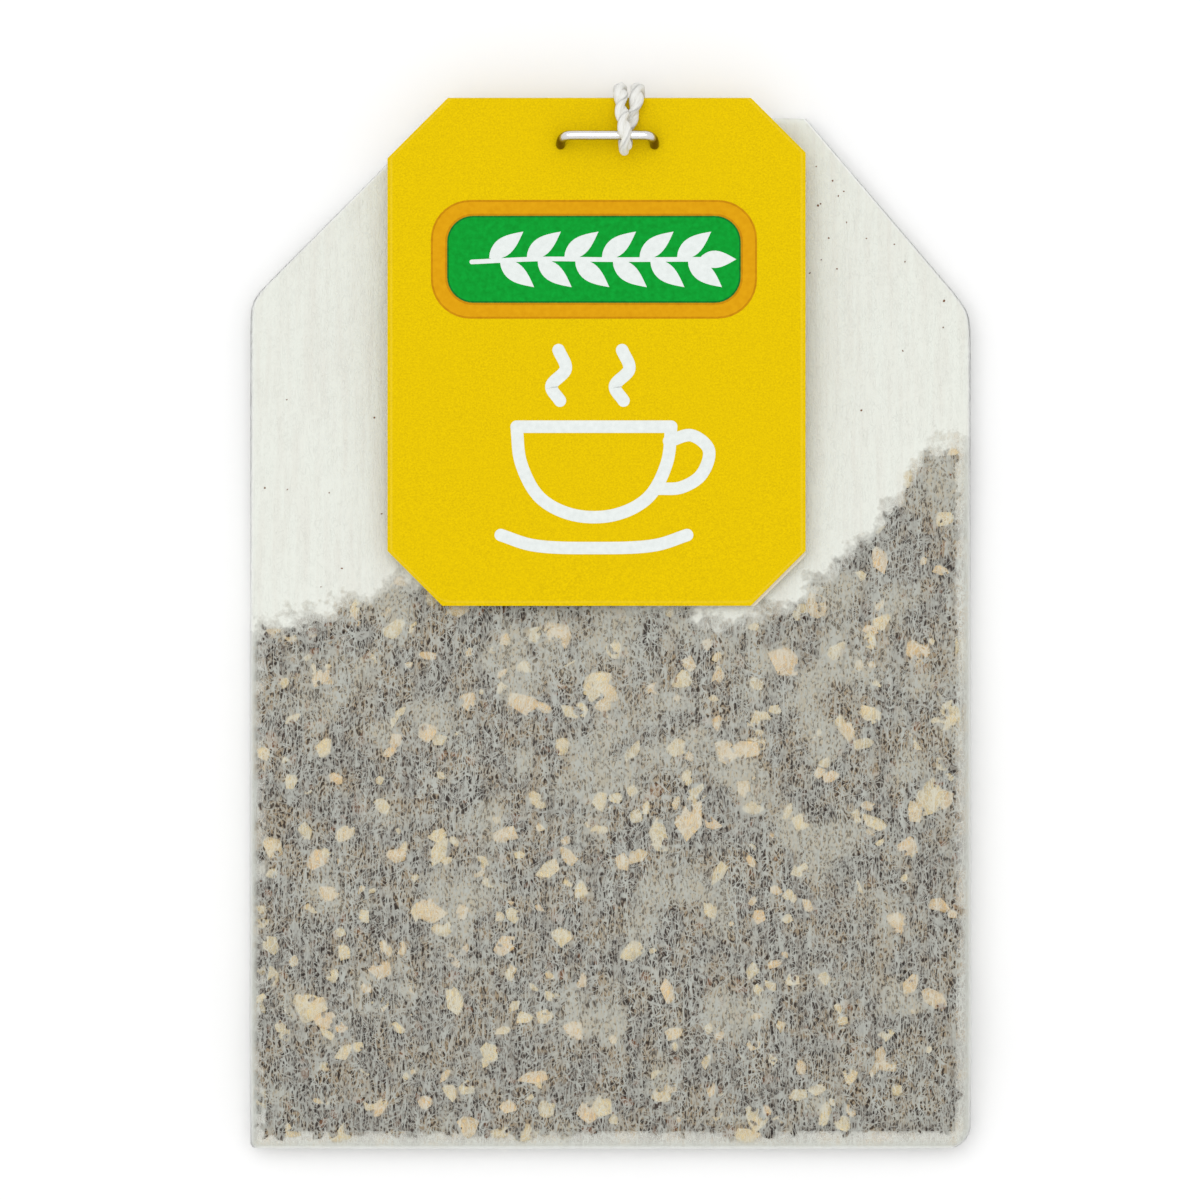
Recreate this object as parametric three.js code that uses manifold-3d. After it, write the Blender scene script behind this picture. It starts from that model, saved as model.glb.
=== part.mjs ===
// A double-chamber tea bag lying on its back, with a folded card tag on a cotton string.
//
// Millimetres, +Z up, +Y towards the stapled head. It is drawn with the bag's bottom edge on
// y = 0, its centre line on x = 0 and its underside on z = 0. The last lines move it along Y so
// that the origin lies under the middle of the object.

import * as THREE from 'three';
import { mergeVertices } from 'three/addons/utils/BufferGeometryUtils.js';
import Module from 'manifold-3d';

// The bag.
const bagHalfWidth = 25;
const bagLength = 71.6;
const paper = 0.05; // thickness of the filter paper
const pressedHalf = 0.07; // half the thickness of the paper tube where it lies empty and pressed
const fullHalf = 1.12; // half the thickness of a chamber where it is fullest
const layerGap = 0.05; // between layers of the folded tube
const sideFullness = 3; // exponent of the chambers' super-ellipse section
const fillRiseEnd = 9; // the chambers fill out from the bottom edge to this height
const fillFallStart = 26; // and thin out from here
const fillFallEnd = 58; // to here, where the tube is pressed flat
const settle = 0.3; // how far the back chamber is flattened against what it lies on
const headHeight = 1.6; // height of the layers' middle at the head
const heightBlend = 0.12; // softness of the change from the full part to the head

// The W fold at the bottom.
const gussetPeak = 10;
const gussetLeaf = 0.13; // from the fold's middle to each of its two leaves
const gussetRoom = 0.2; // room that the leaves take on each side of the middle
const cornerRadiusLeft = 0.5;
const cornerRadiusRight = 1.7;

// The head: corners folded to the back along two slanting creases, then the top folded down.
const creaseLeft = { y: 58.9, run: 1 }; // where the crease leaves the side, and x per y along it
const creaseRight = { y: 58.1, run: 0.852 };
const creaseSoftness = 0.35;
const headFlap = 10;
const frontLayer = 0.12; // from the middle of the layers to the front tube, and to the back one
const flapAxis = -0.33; // height of the head fold's axis from the middle of the layers
const cornerFlapTop = -0.23;
const cornerFlapThick = 0.2;
const creaseWidth = 0.6; // of the pressed strip along each corner crease
const creaseRounding = 0.15;
const creaseBelow = 1.2; // from the crease's lower end to the strip's
const creaseAbove = 0.3; // and at its upper end

// The tea.
const teaClearance = 0.2;
const teaSideGap = 1;
const teaBottom = 1.4;
const teaTopLeft = 35.5;
const teaTopRight = 47.5;
const teaRim = 0.06; // half the thickness of the tea's edge

// The tag: one card folded double at its top edge, corners cut off.
const tagWidth = 28.94;
const tagLength = 35.17;
const tagCentreX = -0.97;
const tagTopY = 72.87;
const tagUnderside = 3.65;
const cardPly = 0.22;
const cardGap = 0.06;
const cutTopLeft = 4.2;
const cutOthers = 3.8;
const backPlyShow = 0.3; // how much less is cut off the back ply at the lower right corner

// The staples: bent wire, clinched inwards.
const wireRadius = 0.325;
const stapleHalf = 3.25; // from the staple's middle to its legs
const stapleBend = 0.75;
const clinchReach = 0.9; // from the staple's middle to the tips
const legHole = 0.4;
const tagStaple = { x: -0.21, y: 70.2, lean: 0.6 };
const bagStaple = { x: 0, y: 63.5, lean: 0 };

// The string.
const stringRadius = 0.5;
const stringGap = 0.06;
const coilFirstTurn = 4.4;
const coilLastTurn = 7.58;

const tagThick = 2 * cardPly + cardGap;
const tagFront = tagUnderside + tagThick;
const headFront = headHeight + frontLayer + pressedHalf;
const headBack = headHeight + 2 * flapAxis - frontLayer - pressedHalf;
const crownLift = 2 * stringGap + 2 * stringRadius + wireRadius; // crown over what it is stapled to

const wasm = await Module();
wasm.setup();

// Booleans.

function toSolid(geometry) {
  const bare = geometry.clone();
  bare.deleteAttribute('normal');
  bare.deleteAttribute('uv');
  const merged = mergeVertices(bare, 1e-4);
  return new wasm.Manifold(new wasm.Mesh({
    numProp: 3,
    vertProperties: new Float32Array(merged.attributes.position.array),
    triVerts: new Uint32Array(merged.index.array),
  }));
}

function toGeometry(solid) {
  const { vertProperties, triVerts } = solid.getMesh();
  return indexedGeometry(Array.from(vertProperties), Array.from(triVerts));
}

function indexedGeometry(positions, indices) {
  const geometry = new THREE.BufferGeometry();
  geometry.setAttribute('position', new THREE.Float32BufferAttribute(positions, 3));
  geometry.setIndex(indices);
  geometry.computeVertexNormals();
  return geometry;
}

// Shared curves of height and width.

const clamp01 = (value) => THREE.MathUtils.clamp(value, 0, 1);
const softMax = (a, b, k) => k * Math.log(Math.exp(a / k) + Math.exp(b / k));
const softMin = (a, b, k) => -softMax(-a, -b, k);

// Half the thickness of either chamber at its middle line.
function chamberHalf(y) {
  const rise = Math.sin(Math.PI / 2 * clamp01(y / fillRiseEnd)) ** 0.8;
  const fall = (1 + Math.cos(Math.PI * clamp01((y - fillFallStart) / (fillFallEnd - fillFallStart)))) / 2;
  return pressedHalf + (fullHalf - pressedHalf) * rise * fall;
}

function roomForGusset(y) {
  return gussetRoom * (1 - THREE.MathUtils.smoothstep(y, gussetPeak + 0.2, gussetPeak + 3));
}

// Height of the plane between the two chambers.
function middleHeight(y) {
  const resting = 2 * chamberHalf(y) + layerGap + roomForGusset(y) - settle;
  return softMax(resting, headHeight, heightBlend);
}

// Height of a chamber's own middle: side is 1 for the front chamber and -1 for the back one.
function chamberHeight(y, side) {
  return middleHeight(y) + side * (layerGap + roomForGusset(y) + chamberHalf(y));
}

// Distance from the centre line to the bag's edge.
function edgeDistance(y, crease, cornerRadius) {
  const sloping = bagHalfWidth - (y - crease.y) * crease.run;
  const lift = Math.max(0, cornerRadius - y);
  const corner = cornerRadius - Math.sqrt(cornerRadius ** 2 - lift ** 2);
  return softMin(bagHalfWidth, sloping, creaseSoftness) - corner;
}

const leftEdge = (y) => edgeDistance(y, creaseLeft, cornerRadiusLeft);
const rightEdge = (y) => edgeDistance(y, creaseRight, cornerRadiusRight);

// The paper bag.

// Stations of the folded tube, from the front tube's open end, over the head, down the front
// chamber, through the W fold, up the back chamber and over the head again. unfolded is how far
// up the strip would reach there with its head flap up, which sets its width.
function bagStations() {
  const stations = [];
  const add = (y, z, half, normalY, normalZ, unfolded = y) => {
    const [left, right] = [leftEdge(unfolded), rightEdge(unfolded)];
    stations.push({ y, z, half, normalY, normalZ, left, right });
  };
  // An arc of the tube: the outer wall is away from the arc's centre if outward is 1.
  const addArc = (y, z, radius, from, to, steps, outward) => {
    for (let i = 1; i < steps; i += 1) {
      const angle = THREE.MathUtils.degToRad(THREE.MathUtils.lerp(from, to, i / steps));
      const [c, s] = [Math.cos(angle), Math.sin(angle)];
      add(y + radius * c, z + radius * s, pressedHalf, outward * c, outward * s);
    }
  };
  const legHeights = [66, 60.4, 59.2, 58.2, 56, 52, 48, 44, 40.5, 37.5, 34, 29, 21, 13.2, 11.6, 9.5, 7,
    4.8, 3, 1.6, 0.7];
  const outerTurn = frontLayer - flapAxis; // radii of the head fold in the front and back tubes
  const innerTurn = -frontLayer - flapAxis;
  const turnY = bagLength - outerTurn - pressedHalf;
  const axis = headHeight + flapAxis;
  const flapHeights = [bagLength - headFlap, bagLength - headFlap / 2, turnY];
  const flapEdge = (y) => 2 * bagLength - y;

  flapHeights.forEach((y) => add(y, axis - outerTurn, pressedHalf, 0, -1, flapEdge(y)));
  addArc(turnY, axis, outerTurn, -90, 90, 6, 1);
  [turnY, ...legHeights].forEach((y) => add(y, chamberHeight(y, 1), chamberHalf(y), 0, 1));

  const bottomTurn = (layerGap + gussetRoom + pressedHalf - gussetLeaf) / 2;
  const bottomY = bottomTurn + pressedHalf;
  const middle = middleHeight(0);
  const bottomTurnHeight = gussetLeaf + bottomTurn;
  const leafHeights = [bottomY, 2, 5, 8, gussetPeak];
  add(bottomY, middle + bottomTurnHeight + bottomTurn, pressedHalf, 0, 1);
  addArc(bottomY, middle + bottomTurnHeight, bottomTurn, 90, 270, 4, 1);
  leafHeights.forEach((y) => add(y, middleHeight(y) + gussetLeaf, pressedHalf, 0, -1));
  addArc(gussetPeak, middleHeight(gussetPeak), gussetLeaf, 90, -90, 4, -1);
  [...leafHeights].reverse().forEach((y) => add(y, middleHeight(y) - gussetLeaf, pressedHalf, 0, 1));
  addArc(bottomY, middle - bottomTurnHeight, bottomTurn, 90, 270, 4, 1);
  add(bottomY, middle - bottomTurnHeight - bottomTurn, pressedHalf, 0, -1);

  [...legHeights].reverse().forEach((y) => add(y, chamberHeight(y, -1), chamberHalf(y), 0, -1));
  add(turnY, chamberHeight(turnY, -1), pressedHalf, 0, -1);
  addArc(turnY, axis, innerTurn, 90, -90, 6, -1);
  [...flapHeights].reverse().forEach((y) => add(y, axis - innerTurn, pressedHalf, 0, 1, flapEdge(y)));
  return stations;
}

// The closed loop of a section as pairs (across, up) on a super-ellipse of half sizes 1 and 1.
function sectionLoop(count) {
  const bulge = (value) => Math.sign(value) * Math.abs(value) ** (2 / sideFullness);
  return Array.from({ length: count }, (_, i) => {
    const angle = 2 * Math.PI * i / count;
    return [bulge(Math.cos(angle)), bulge(Math.sin(angle))];
  });
}

// A thin-walled tube through the stations, open at both ends.
function paperTube(stations, loop) {
  const count = loop.length;
  const positions = [];
  const wall = (inset) => stations.forEach((station) => loop.forEach(([across, up]) => {
    const side = across > 0 ? station.right : station.left;
    const lift = (station.half - inset) * up;
    positions.push(
      (side - inset) * across,
      station.y + station.normalY * lift,
      Math.max(inset, station.z + station.normalZ * lift),
    );
  }));
  wall(0);
  wall(paper);

  const indices = [];
  const inner = stations.length * count;
  const quad = (a, b, c, d) => indices.push(a, b, c, a, c, d);
  for (let k = 0; k < count; k += 1) {
    const next = (k + 1) % count;
    for (let i = 0; i + 1 < stations.length; i += 1) {
      const [here, after] = [i * count, (i + 1) * count];
      quad(here + k, here + next, after + next, after + k);
      quad(inner + here + k, inner + after + k, inner + after + next, inner + here + next);
    }
    const end = (stations.length - 1) * count;
    quad(k, inner + k, inner + next, next);
    quad(end + k, end + next, inner + end + next, inner + end + k);
  }
  return indexedGeometry(positions, indices);
}

// A plate of the given outline, between two heights.
function plate(outline, bottom, thick) {
  const shape = new THREE.Shape(outline.map(([x, y]) => new THREE.Vector2(x, y)));
  const geometry = new THREE.ExtrudeGeometry(shape, { depth: thick, bevelEnabled: false });
  return geometry.translate(0, 0, bottom);
}

// A folded-back corner: its four layers pressed into one plate, and the crease that joins the
// plate to the tubes. side is -1 on the left and 1 on the right.
function cornerFlap(side, crease) {
  const top = bagLength - frontLayer + flapAxis - 2 * pressedHalf;
  const bottomEnd = new THREE.Vector2(side * bagHalfWidth, crease.y);
  const topEnd = new THREE.Vector2(side * (bagHalfWidth - (top - crease.y) * crease.run), top);
  const along = topEnd.clone().sub(bottomEnd).normalize();
  const reflect = (point) => {
    const from = point.clone().sub(bottomEnd);
    return along.clone().multiplyScalar(2 * from.dot(along)).sub(from).add(bottomEnd);
  };
  const tubeEnd = bagLength + headFlap;
  const sideEnd = reflect(new THREE.Vector2(side * bagHalfWidth, tubeEnd));
  const endMiddle = new THREE.Vector2(side * (bagHalfWidth - (tubeEnd - crease.y) * crease.run), tubeEnd);
  const share = (top - sideEnd.y) / (endMiddle.y - sideEnd.y);
  const cut = sideEnd.clone().lerp(endMiddle, share);

  const inward = new THREE.Vector2(-side * along.y, side * along.x);
  const inset = inward.clone().multiplyScalar(creaseWidth / 2);
  const start = bottomEnd.clone().addScaledVector(along, creaseBelow).add(inset);
  const finish = topEnd.clone().addScaledVector(along, -creaseAbove).add(inset);
  const outline = [start, finish, cut, sideEnd].map((point) => [point.x, point.y]);
  if (side > 0) outline.reverse();
  const leafBottom = cornerFlapTop - cornerFlapThick;
  const leaf = plate(outline, headHeight + leafBottom, cornerFlapThick);

  // The crease: all the layers pressed together where they turn, rounded on the outside.
  const creaseTop = frontLayer + pressedHalf;
  const reach = creaseWidth / 2;
  const section = new THREE.Shape();
  section.moveTo(-reach, leafBottom);
  section.lineTo(reach - creaseRounding, leafBottom);
  section.absarc(reach - creaseRounding, leafBottom + creaseRounding, creaseRounding, -Math.PI / 2, 0, false);
  section.absarc(reach - creaseRounding, creaseTop - creaseRounding, creaseRounding, 0, Math.PI / 2, false);
  section.lineTo(-reach, creaseTop);
  const strip = new THREE.ExtrudeGeometry(section, {
    depth: start.distanceTo(finish), bevelEnabled: false, curveSegments: 3,
  });
  const outwards = new THREE.Vector3(-inward.x, -inward.y, 0);
  const up = new THREE.Vector3(0, 0, 1);
  const lengthwise = new THREE.Vector3().crossVectors(outwards, up);
  const base = lengthwise.dot(new THREE.Vector3(along.x, along.y, 0)) > 0 ? start : finish;
  const place = new THREE.Matrix4().makeBasis(outwards, up, lengthwise);
  place.setPosition(base.x, base.y, headHeight);
  strip.applyMatrix4(place);
  return toSolid(leaf).add(toSolid(strip));
}

// Two round holes for a staple's legs.
function legHoles(staple, bottom, top) {
  const hole = (x) => {
    const drill = new THREE.CylinderGeometry(legHole, legHole, top - bottom, 10);
    drill.rotateX(Math.PI / 2).translate(x, staple.y - staple.lean, (top + bottom) / 2);
    return toSolid(drill);
  };
  return hole(staple.x - stapleHalf).add(hole(staple.x + stapleHalf));
}

function filterPaperBag() {
  return toGeometry(
    toSolid(paperTube(bagStations(), sectionLoop(20)))
      .add(cornerFlap(-1, creaseLeft))
      .add(cornerFlap(1, creaseRight))
      .subtract(legHoles(bagStaple, -1, headFront + 1)),
  );
}

// The tea: a closed body that fills a chamber up to a slanting line. Its rows and columns lie
// closer together towards its rim, where it thins out.
function teaFill(side) {
  const [columns, rows] = [16, 14];
  const halfWidth = bagHalfWidth - paper - teaSideGap;
  const positions = [];
  const sheet = (face) => {
    for (let j = 0; j <= rows; j += 1) {
      for (let i = 0; i <= columns; i += 1) {
        const across = -Math.cos(Math.PI * i / columns);
        const lengthwise = -Math.cos(Math.PI * j / rows);
        const top = THREE.MathUtils.mapLinear(across, -1, 1, teaTopLeft, teaTopRight);
        const y = THREE.MathUtils.mapLinear(lengthwise, -1, 1, teaBottom, top);
        const fullness = (1 - Math.abs(across) ** sideFullness) ** (1 / sideFullness);
        const ending = 1 - Math.abs(lengthwise) ** 8;
        const room = chamberHalf(y) - paper - teaClearance;
        const half = Math.max(teaRim, room * fullness * ending);
        const floor = paper + teaClearance + (1 + face) * teaRim;
        positions.push(across * halfWidth, y, Math.max(floor, chamberHeight(y, side) + face * half));
      }
    }
  };
  sheet(1);
  sheet(-1);

  const indices = [];
  const row = columns + 1;
  const under = row * (rows + 1);
  const quad = (a, b, c, d) => indices.push(a, b, c, a, c, d);
  for (let j = 0; j < rows; j += 1) {
    for (let i = 0; i < columns; i += 1) {
      const a = j * row + i;
      quad(a, a + 1, a + row + 1, a + row);
      quad(under + a, under + a + row, under + a + row + 1, under + a + 1);
    }
  }
  const rim = [];
  for (let i = 0; i < columns; i += 1) rim.push(i);
  for (let j = 0; j < rows; j += 1) rim.push(j * row + columns);
  for (let i = columns; i > 0; i -= 1) rim.push(rows * row + i);
  for (let j = rows; j > 0; j -= 1) rim.push(j * row);
  rim.forEach((a, i) => {
    const b = rim[(i + 1) % rim.length];
    quad(a, under + a, under + b, b);
  });
  return indexedGeometry(positions, indices);
}

// The tag: a strip folded double at the top, cut to an octagon, pierced by its staple.
function tagCard() {
  const bottom = tagTopY - tagLength;
  const foldY = tagTopY - tagThick / 2;
  const [outer, inner] = [tagThick / 2, cardGap / 2];
  const section = new THREE.Shape();
  section.moveTo(bottom, 0);
  section.lineTo(foldY, 0);
  section.absarc(foldY, outer, outer, -Math.PI / 2, Math.PI / 2, false);
  section.lineTo(bottom, tagThick);
  section.lineTo(bottom, outer + inner);
  section.lineTo(foldY, outer + inner);
  section.absarc(foldY, outer, inner, Math.PI / 2, -Math.PI / 2, true);
  section.lineTo(bottom, outer - inner);
  const strip = new THREE.ExtrudeGeometry(section, {
    depth: tagWidth, bevelEnabled: false, curveSegments: 8,
  });
  const [x, y, z] = [new THREE.Vector3(1, 0, 0), new THREE.Vector3(0, 1, 0), new THREE.Vector3(0, 0, 1)];
  const place = new THREE.Matrix4().makeBasis(y, z, x);
  place.setPosition(tagCentreX - tagWidth / 2, 0, tagUnderside);
  strip.applyMatrix4(place);

  const octagon = (lowerRight, from, to) => {
    const [left, right] = [tagCentreX - tagWidth / 2 - 1, tagCentreX + tagWidth / 2 + 1];
    const [low, high] = [bottom - 1, tagTopY + 1];
    return toSolid(plate([
      [left + cutOthers + 2, low], [right - lowerRight - 2, low], [right, low + lowerRight + 2],
      [right, high - cutOthers - 2], [right - cutOthers - 2, high], [left + cutTopLeft + 2, high],
      [left, high - cutTopLeft - 2], [left, low + cutOthers + 2],
    ], from, to - from));
  };
  const middle = tagUnderside + outer;
  const cutter = octagon(cutOthers, middle, middle + 1)
    .add(octagon(cutOthers - backPlyShow, middle - 1, middle));
  const holes = legHoles(tagStaple, tagUnderside - 1, tagFront + 1);
  return toGeometry(toSolid(strip).intersect(cutter).subtract(holes));
}

// A staple as bent wire: front is the height of the surface under its crown, back the height of
// the surface that its tips are clinched against.
function stapleWire(staple, front, back) {
  const crown = front + crownLift;
  const clinch = back - layerGap - wireRadius;
  const legY = staple.y - staple.lean;
  const at = (x, y, z) => new THREE.Vector3(staple.x + x, y, z);
  const path = new THREE.CurvePath();
  const half = (side) => {
    const tip = at(side * clinchReach, legY, clinch);
    const beforeBend = at(side * (stapleHalf - stapleBend), legY, clinch);
    const bend = at(side * stapleHalf, legY, clinch);
    const afterBend = at(side * stapleHalf, legY, clinch + stapleBend);
    const legTop = at(side * stapleHalf, legY, front + 0.1);
    const shoulder = at(side * stapleHalf, staple.y, crown);
    const crownEnd = at(side * (stapleHalf - stapleBend), staple.y, crown);
    return { tip, beforeBend, bend, afterBend, legTop, shoulder, crownEnd };
  };
  const [a, b] = [half(-1), half(1)];
  path.add(new THREE.LineCurve3(a.tip, a.beforeBend));
  path.add(new THREE.QuadraticBezierCurve3(a.beforeBend, a.bend, a.afterBend));
  path.add(new THREE.LineCurve3(a.afterBend, a.legTop));
  path.add(new THREE.QuadraticBezierCurve3(a.legTop, a.shoulder, a.crownEnd));
  path.add(new THREE.LineCurve3(a.crownEnd, b.crownEnd));
  path.add(new THREE.QuadraticBezierCurve3(b.crownEnd, b.shoulder, b.legTop));
  path.add(new THREE.LineCurve3(b.legTop, b.afterBend));
  path.add(new THREE.QuadraticBezierCurve3(b.afterBend, b.bend, b.beforeBend));
  path.add(new THREE.LineCurve3(b.beforeBend, b.tip));
  return roundTube(path, wireRadius, 40);
}

function roundTube(path, radius, steps) {
  const section = new THREE.Shape();
  section.absarc(0, 0, radius, 0, 2 * Math.PI, false);
  return new THREE.ExtrudeGeometry(section, {
    extrudePath: path, steps, curveSegments: 4, bevelEnabled: false,
  });
}

// The string from the coil, over the tag's top edge, behind the staple's crown, round it and
// back over the top edge, where the tail is tucked in behind the tag.
const tagEndRoute = [
  [2.1, 71.95, 2.4], [1.95, 72.6, 2.6], [1.9, 73.22, 3.1], [1.88, 73.48, 3.85], [1.84, 73.22, 4.52],
  [1.76, 72.5, 4.75], [1.5, 71.6, 4.74], [1.15, 70.7, 4.72], [1.04, 70.1, 4.73], [1.04, 69.48, 5.02],
  [1.04, 69.28, 5.6], [1.02, 69.6, 6.2], [1, 70.2, 6.49], [0.92, 70.98, 6.2], [0.8, 71.7, 5.4],
  [0.72, 72.4, 4.83], [0.7, 73.1, 4.55], [0.68, 73.46, 3.9], [0.68, 73.2, 3.25], [0.7, 72.6, 3.03],
  [0.72, 71.95, 3.05],
];

// The string's other end, from the coil's inside to under the bag's staple.
const bagEndRoute = [
  [-0.25, 65.2, 2.35], [-0.05, 64.1, 2.35], [0, 62.9, 2.35], [0.35, 61.75, 2.35], [1.2, 61.05, 2.35],
  [2.05, 61.25, 2.35],
];

function stringAlong(route, steps) {
  const points = route.map((point) => new THREE.Vector3(...point));
  return roundTube(new THREE.CatmullRomCurve3(points), stringRadius, steps);
}

// The wound length: the outer shape of three turns side by side.
function stringCoil() {
  const [low, high] = [headFront + stringGap, headFront + stringGap + 2 * stringRadius];
  const [inside, outside] = [coilFirstTurn - stringRadius, coilLastTurn + stringRadius];
  const profile = [[inside, low], [outside, low], [outside, high], [inside, high], [inside, low]];
  const ring = new THREE.LatheGeometry(profile.map(([r, z]) => new THREE.Vector2(r, z)), 40);
  return ring.rotateX(Math.PI / 2).translate(bagStaple.x, bagStaple.y, 0);
}

// The assembly.

const finishes = {
  filterPaper: { color: 0xe8ebe0, roughness: 0.9, metalness: 0 },
  tea: { color: 0x3a2a1c, roughness: 0.95, metalness: 0 },
  card: { color: 0xd9a200, roughness: 0.55, metalness: 0 },
  steel: { color: 0xc9cacc, roughness: 0.25, metalness: 1 },
  cotton: { color: 0xefece0, roughness: 0.95, metalness: 0 },
};

function part(name, geometry, finish) {
  const mesh = new THREE.Mesh(geometry, new THREE.MeshStandardMaterial(finishes[finish]));
  mesh.name = name;
  return mesh;
}

const teaBag = new THREE.Group();
teaBag.add(
  part('filter_paper_bag', filterPaperBag(), 'filterPaper'),
  part('tea_fill_front', teaFill(1), 'tea'),
  part('tea_fill_back', teaFill(-1), 'tea'),
  part('tag_card', tagCard(), 'card'),
  part('tag_staple', stapleWire(tagStaple, tagFront, tagUnderside), 'steel'),
  part('bag_staple', stapleWire(bagStaple, headFront, headBack), 'steel'),
  part('string_tag_end', stringAlong(tagEndRoute, 60), 'cotton'),
  part('string_coil', stringCoil(), 'cotton'),
  part('string_bag_end', stringAlong(bagEndRoute, 12), 'cotton'),
);
teaBag.position.y = -tagTopY / 2;

export default teaBag;
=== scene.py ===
import bmesh
import bpy
import mathutils
import numpy as np
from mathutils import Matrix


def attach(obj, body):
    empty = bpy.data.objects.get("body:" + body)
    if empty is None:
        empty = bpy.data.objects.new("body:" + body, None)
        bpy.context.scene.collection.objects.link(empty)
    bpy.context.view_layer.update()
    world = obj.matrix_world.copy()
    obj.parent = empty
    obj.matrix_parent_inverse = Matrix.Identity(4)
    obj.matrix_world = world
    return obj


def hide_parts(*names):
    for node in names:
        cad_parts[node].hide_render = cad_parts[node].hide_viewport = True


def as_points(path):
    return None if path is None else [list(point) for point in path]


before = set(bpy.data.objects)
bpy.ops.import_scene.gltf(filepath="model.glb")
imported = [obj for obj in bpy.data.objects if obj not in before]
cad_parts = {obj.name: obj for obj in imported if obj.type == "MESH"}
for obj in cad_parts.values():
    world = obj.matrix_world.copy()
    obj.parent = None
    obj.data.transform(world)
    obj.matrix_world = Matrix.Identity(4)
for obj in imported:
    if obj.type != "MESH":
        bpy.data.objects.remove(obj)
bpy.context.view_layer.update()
mm = 0.001
originY = 36.435  # the tag's top edge lies this far above the model's middle
print("frame loaded:", len(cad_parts), "nodes")

view = dict(middle=(-0.73, 1.67), across=83.3, lens=300, sensor=36, facing=2, clip=(0.01, 10))


# The height comes from similar triangles: width seen over sensor width times focal length.
def addCamera():
    data = bpy.data.cameras.new("overhead")
    data.lens, data.sensor_width = view["lens"], view["sensor"]
    data.clip_start, data.clip_end = view["clip"]
    camera = bpy.data.objects.new("overhead", data)
    height = view["across"] / view["sensor"] * view["lens"] + view["facing"]
    camera.location = [value * mm for value in (*view["middle"], height)]
    bpy.context.scene.collection.objects.link(camera)
    bpy.context.scene.camera = camera


addCamera()
print("camera placed")


# Puts points (millimetres, y from the bag's bottom edge) into the model's metres.
def toModel(points):
    return (np.asarray(points, float) - (0, originY, 0)) * mm


# Makes a mesh object from points in metres and lists of faces. slots has a material's number for each list,
# or one for each of its faces. Every shell is closed, so its faces can be turned to point outward.
def makePiece(name, points, faceSets, materials, slots=None, smooth=True):
    mesh = bpy.data.meshes.new(name)
    mesh.from_pydata(points.tolist(), [], [face for faces in faceSets for face in faces.tolist()])
    for material in materials:
        mesh.materials.append(material)
    if slots is not None:
        each = [np.broadcast_to(slot, len(faces)) for slot, faces in zip(slots, faceSets)]
        mesh.polygons.foreach_set("material_index", np.concatenate(each).astype(np.int32))
    mesh.polygons.foreach_set("use_smooth", np.full(len(mesh.polygons), smooth))
    shells = bmesh.new()
    shells.from_mesh(mesh)
    bmesh.ops.recalc_face_normals(shells, faces=shells.faces)
    shells.to_mesh(mesh)
    shells.free()
    mesh.update()
    piece = bpy.data.objects.new(name, mesh)
    bpy.context.scene.collection.objects.link(piece)
    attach(piece, "root")
    return piece


# Joins parts, each with its points and its lists of faces, into one list of points and one of face lists.
def joinParts(parts):
    starts = np.cumsum([0] + [len(points) for points, _ in parts])
    return (np.vstack([points for points, _ in parts]),
            [faces + start for (_, faceSets), start in zip(parts, starts) for faces in faceSets])


def setAttribute(piece, name, values):  # one number at each point
    attribute = piece.data.attributes.new(name, "FLOAT", "POINT")
    attribute.data.foreach_set("value", np.asarray(values, np.float32))


def together(*parts):  # arrays side by side along a new last axis
    return np.stack(np.broadcast_arrays(*parts), axis=-1)


# Quads of a grid of rows by columns; closed joins the last column to the first one.
def gridQuads(rows, columns, closed=False):
    index = np.arange(rows * columns).reshape(rows, columns)
    after = np.roll(index, -1, axis=1)
    a, b, c, d = index[:-1], after[:-1], after[1:], index[1:]
    quads = together(a, b, c, d)
    return (quads if closed else quads[:, :-1]).reshape(-1, 4)


# Outer quads, inner quads turned over and the rims between them, for two grids of one shape.
def sheetQuads(rows, columns, closed=False):
    outer = gridQuads(rows, columns, closed)
    inner = outer[:, ::-1] + rows * columns
    index = np.arange(rows * columns).reshape(rows, columns)
    edges = [index[0], index[-1][::-1]]
    if closed:
        edges = [np.append(edge, edge[0]) for edge in edges]
    else:
        edges += [index[:, -1], index[::-1, 0]]
    rims = [together(e[1:], e[:-1], e[:-1] + rows * columns, e[1:] + rows * columns) for e in edges]
    return outer, inner, np.concatenate(rims)


# Random heights on a square lattice, blended between neighbours by 3t^2 - 2t^3.
def smoothField(x, y, seed):
    table = np.random.default_rng(seed).uniform(-1, 1, (256, 256))
    cellX, cellY = np.floor(x).astype(int), np.floor(y).astype(int)
    s, t = x - cellX, y - cellY
    s, t = s * s * (3 - 2 * s), t * t * (3 - 2 * t)
    at = lambda i, j: table[(cellX + i) % 256, (cellY + j) % 256]
    return (at(0, 0) * (1 - s) + at(1, 0) * s) * (1 - t) + (at(0, 1) * (1 - s) + at(1, 1) * s) * t


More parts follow.
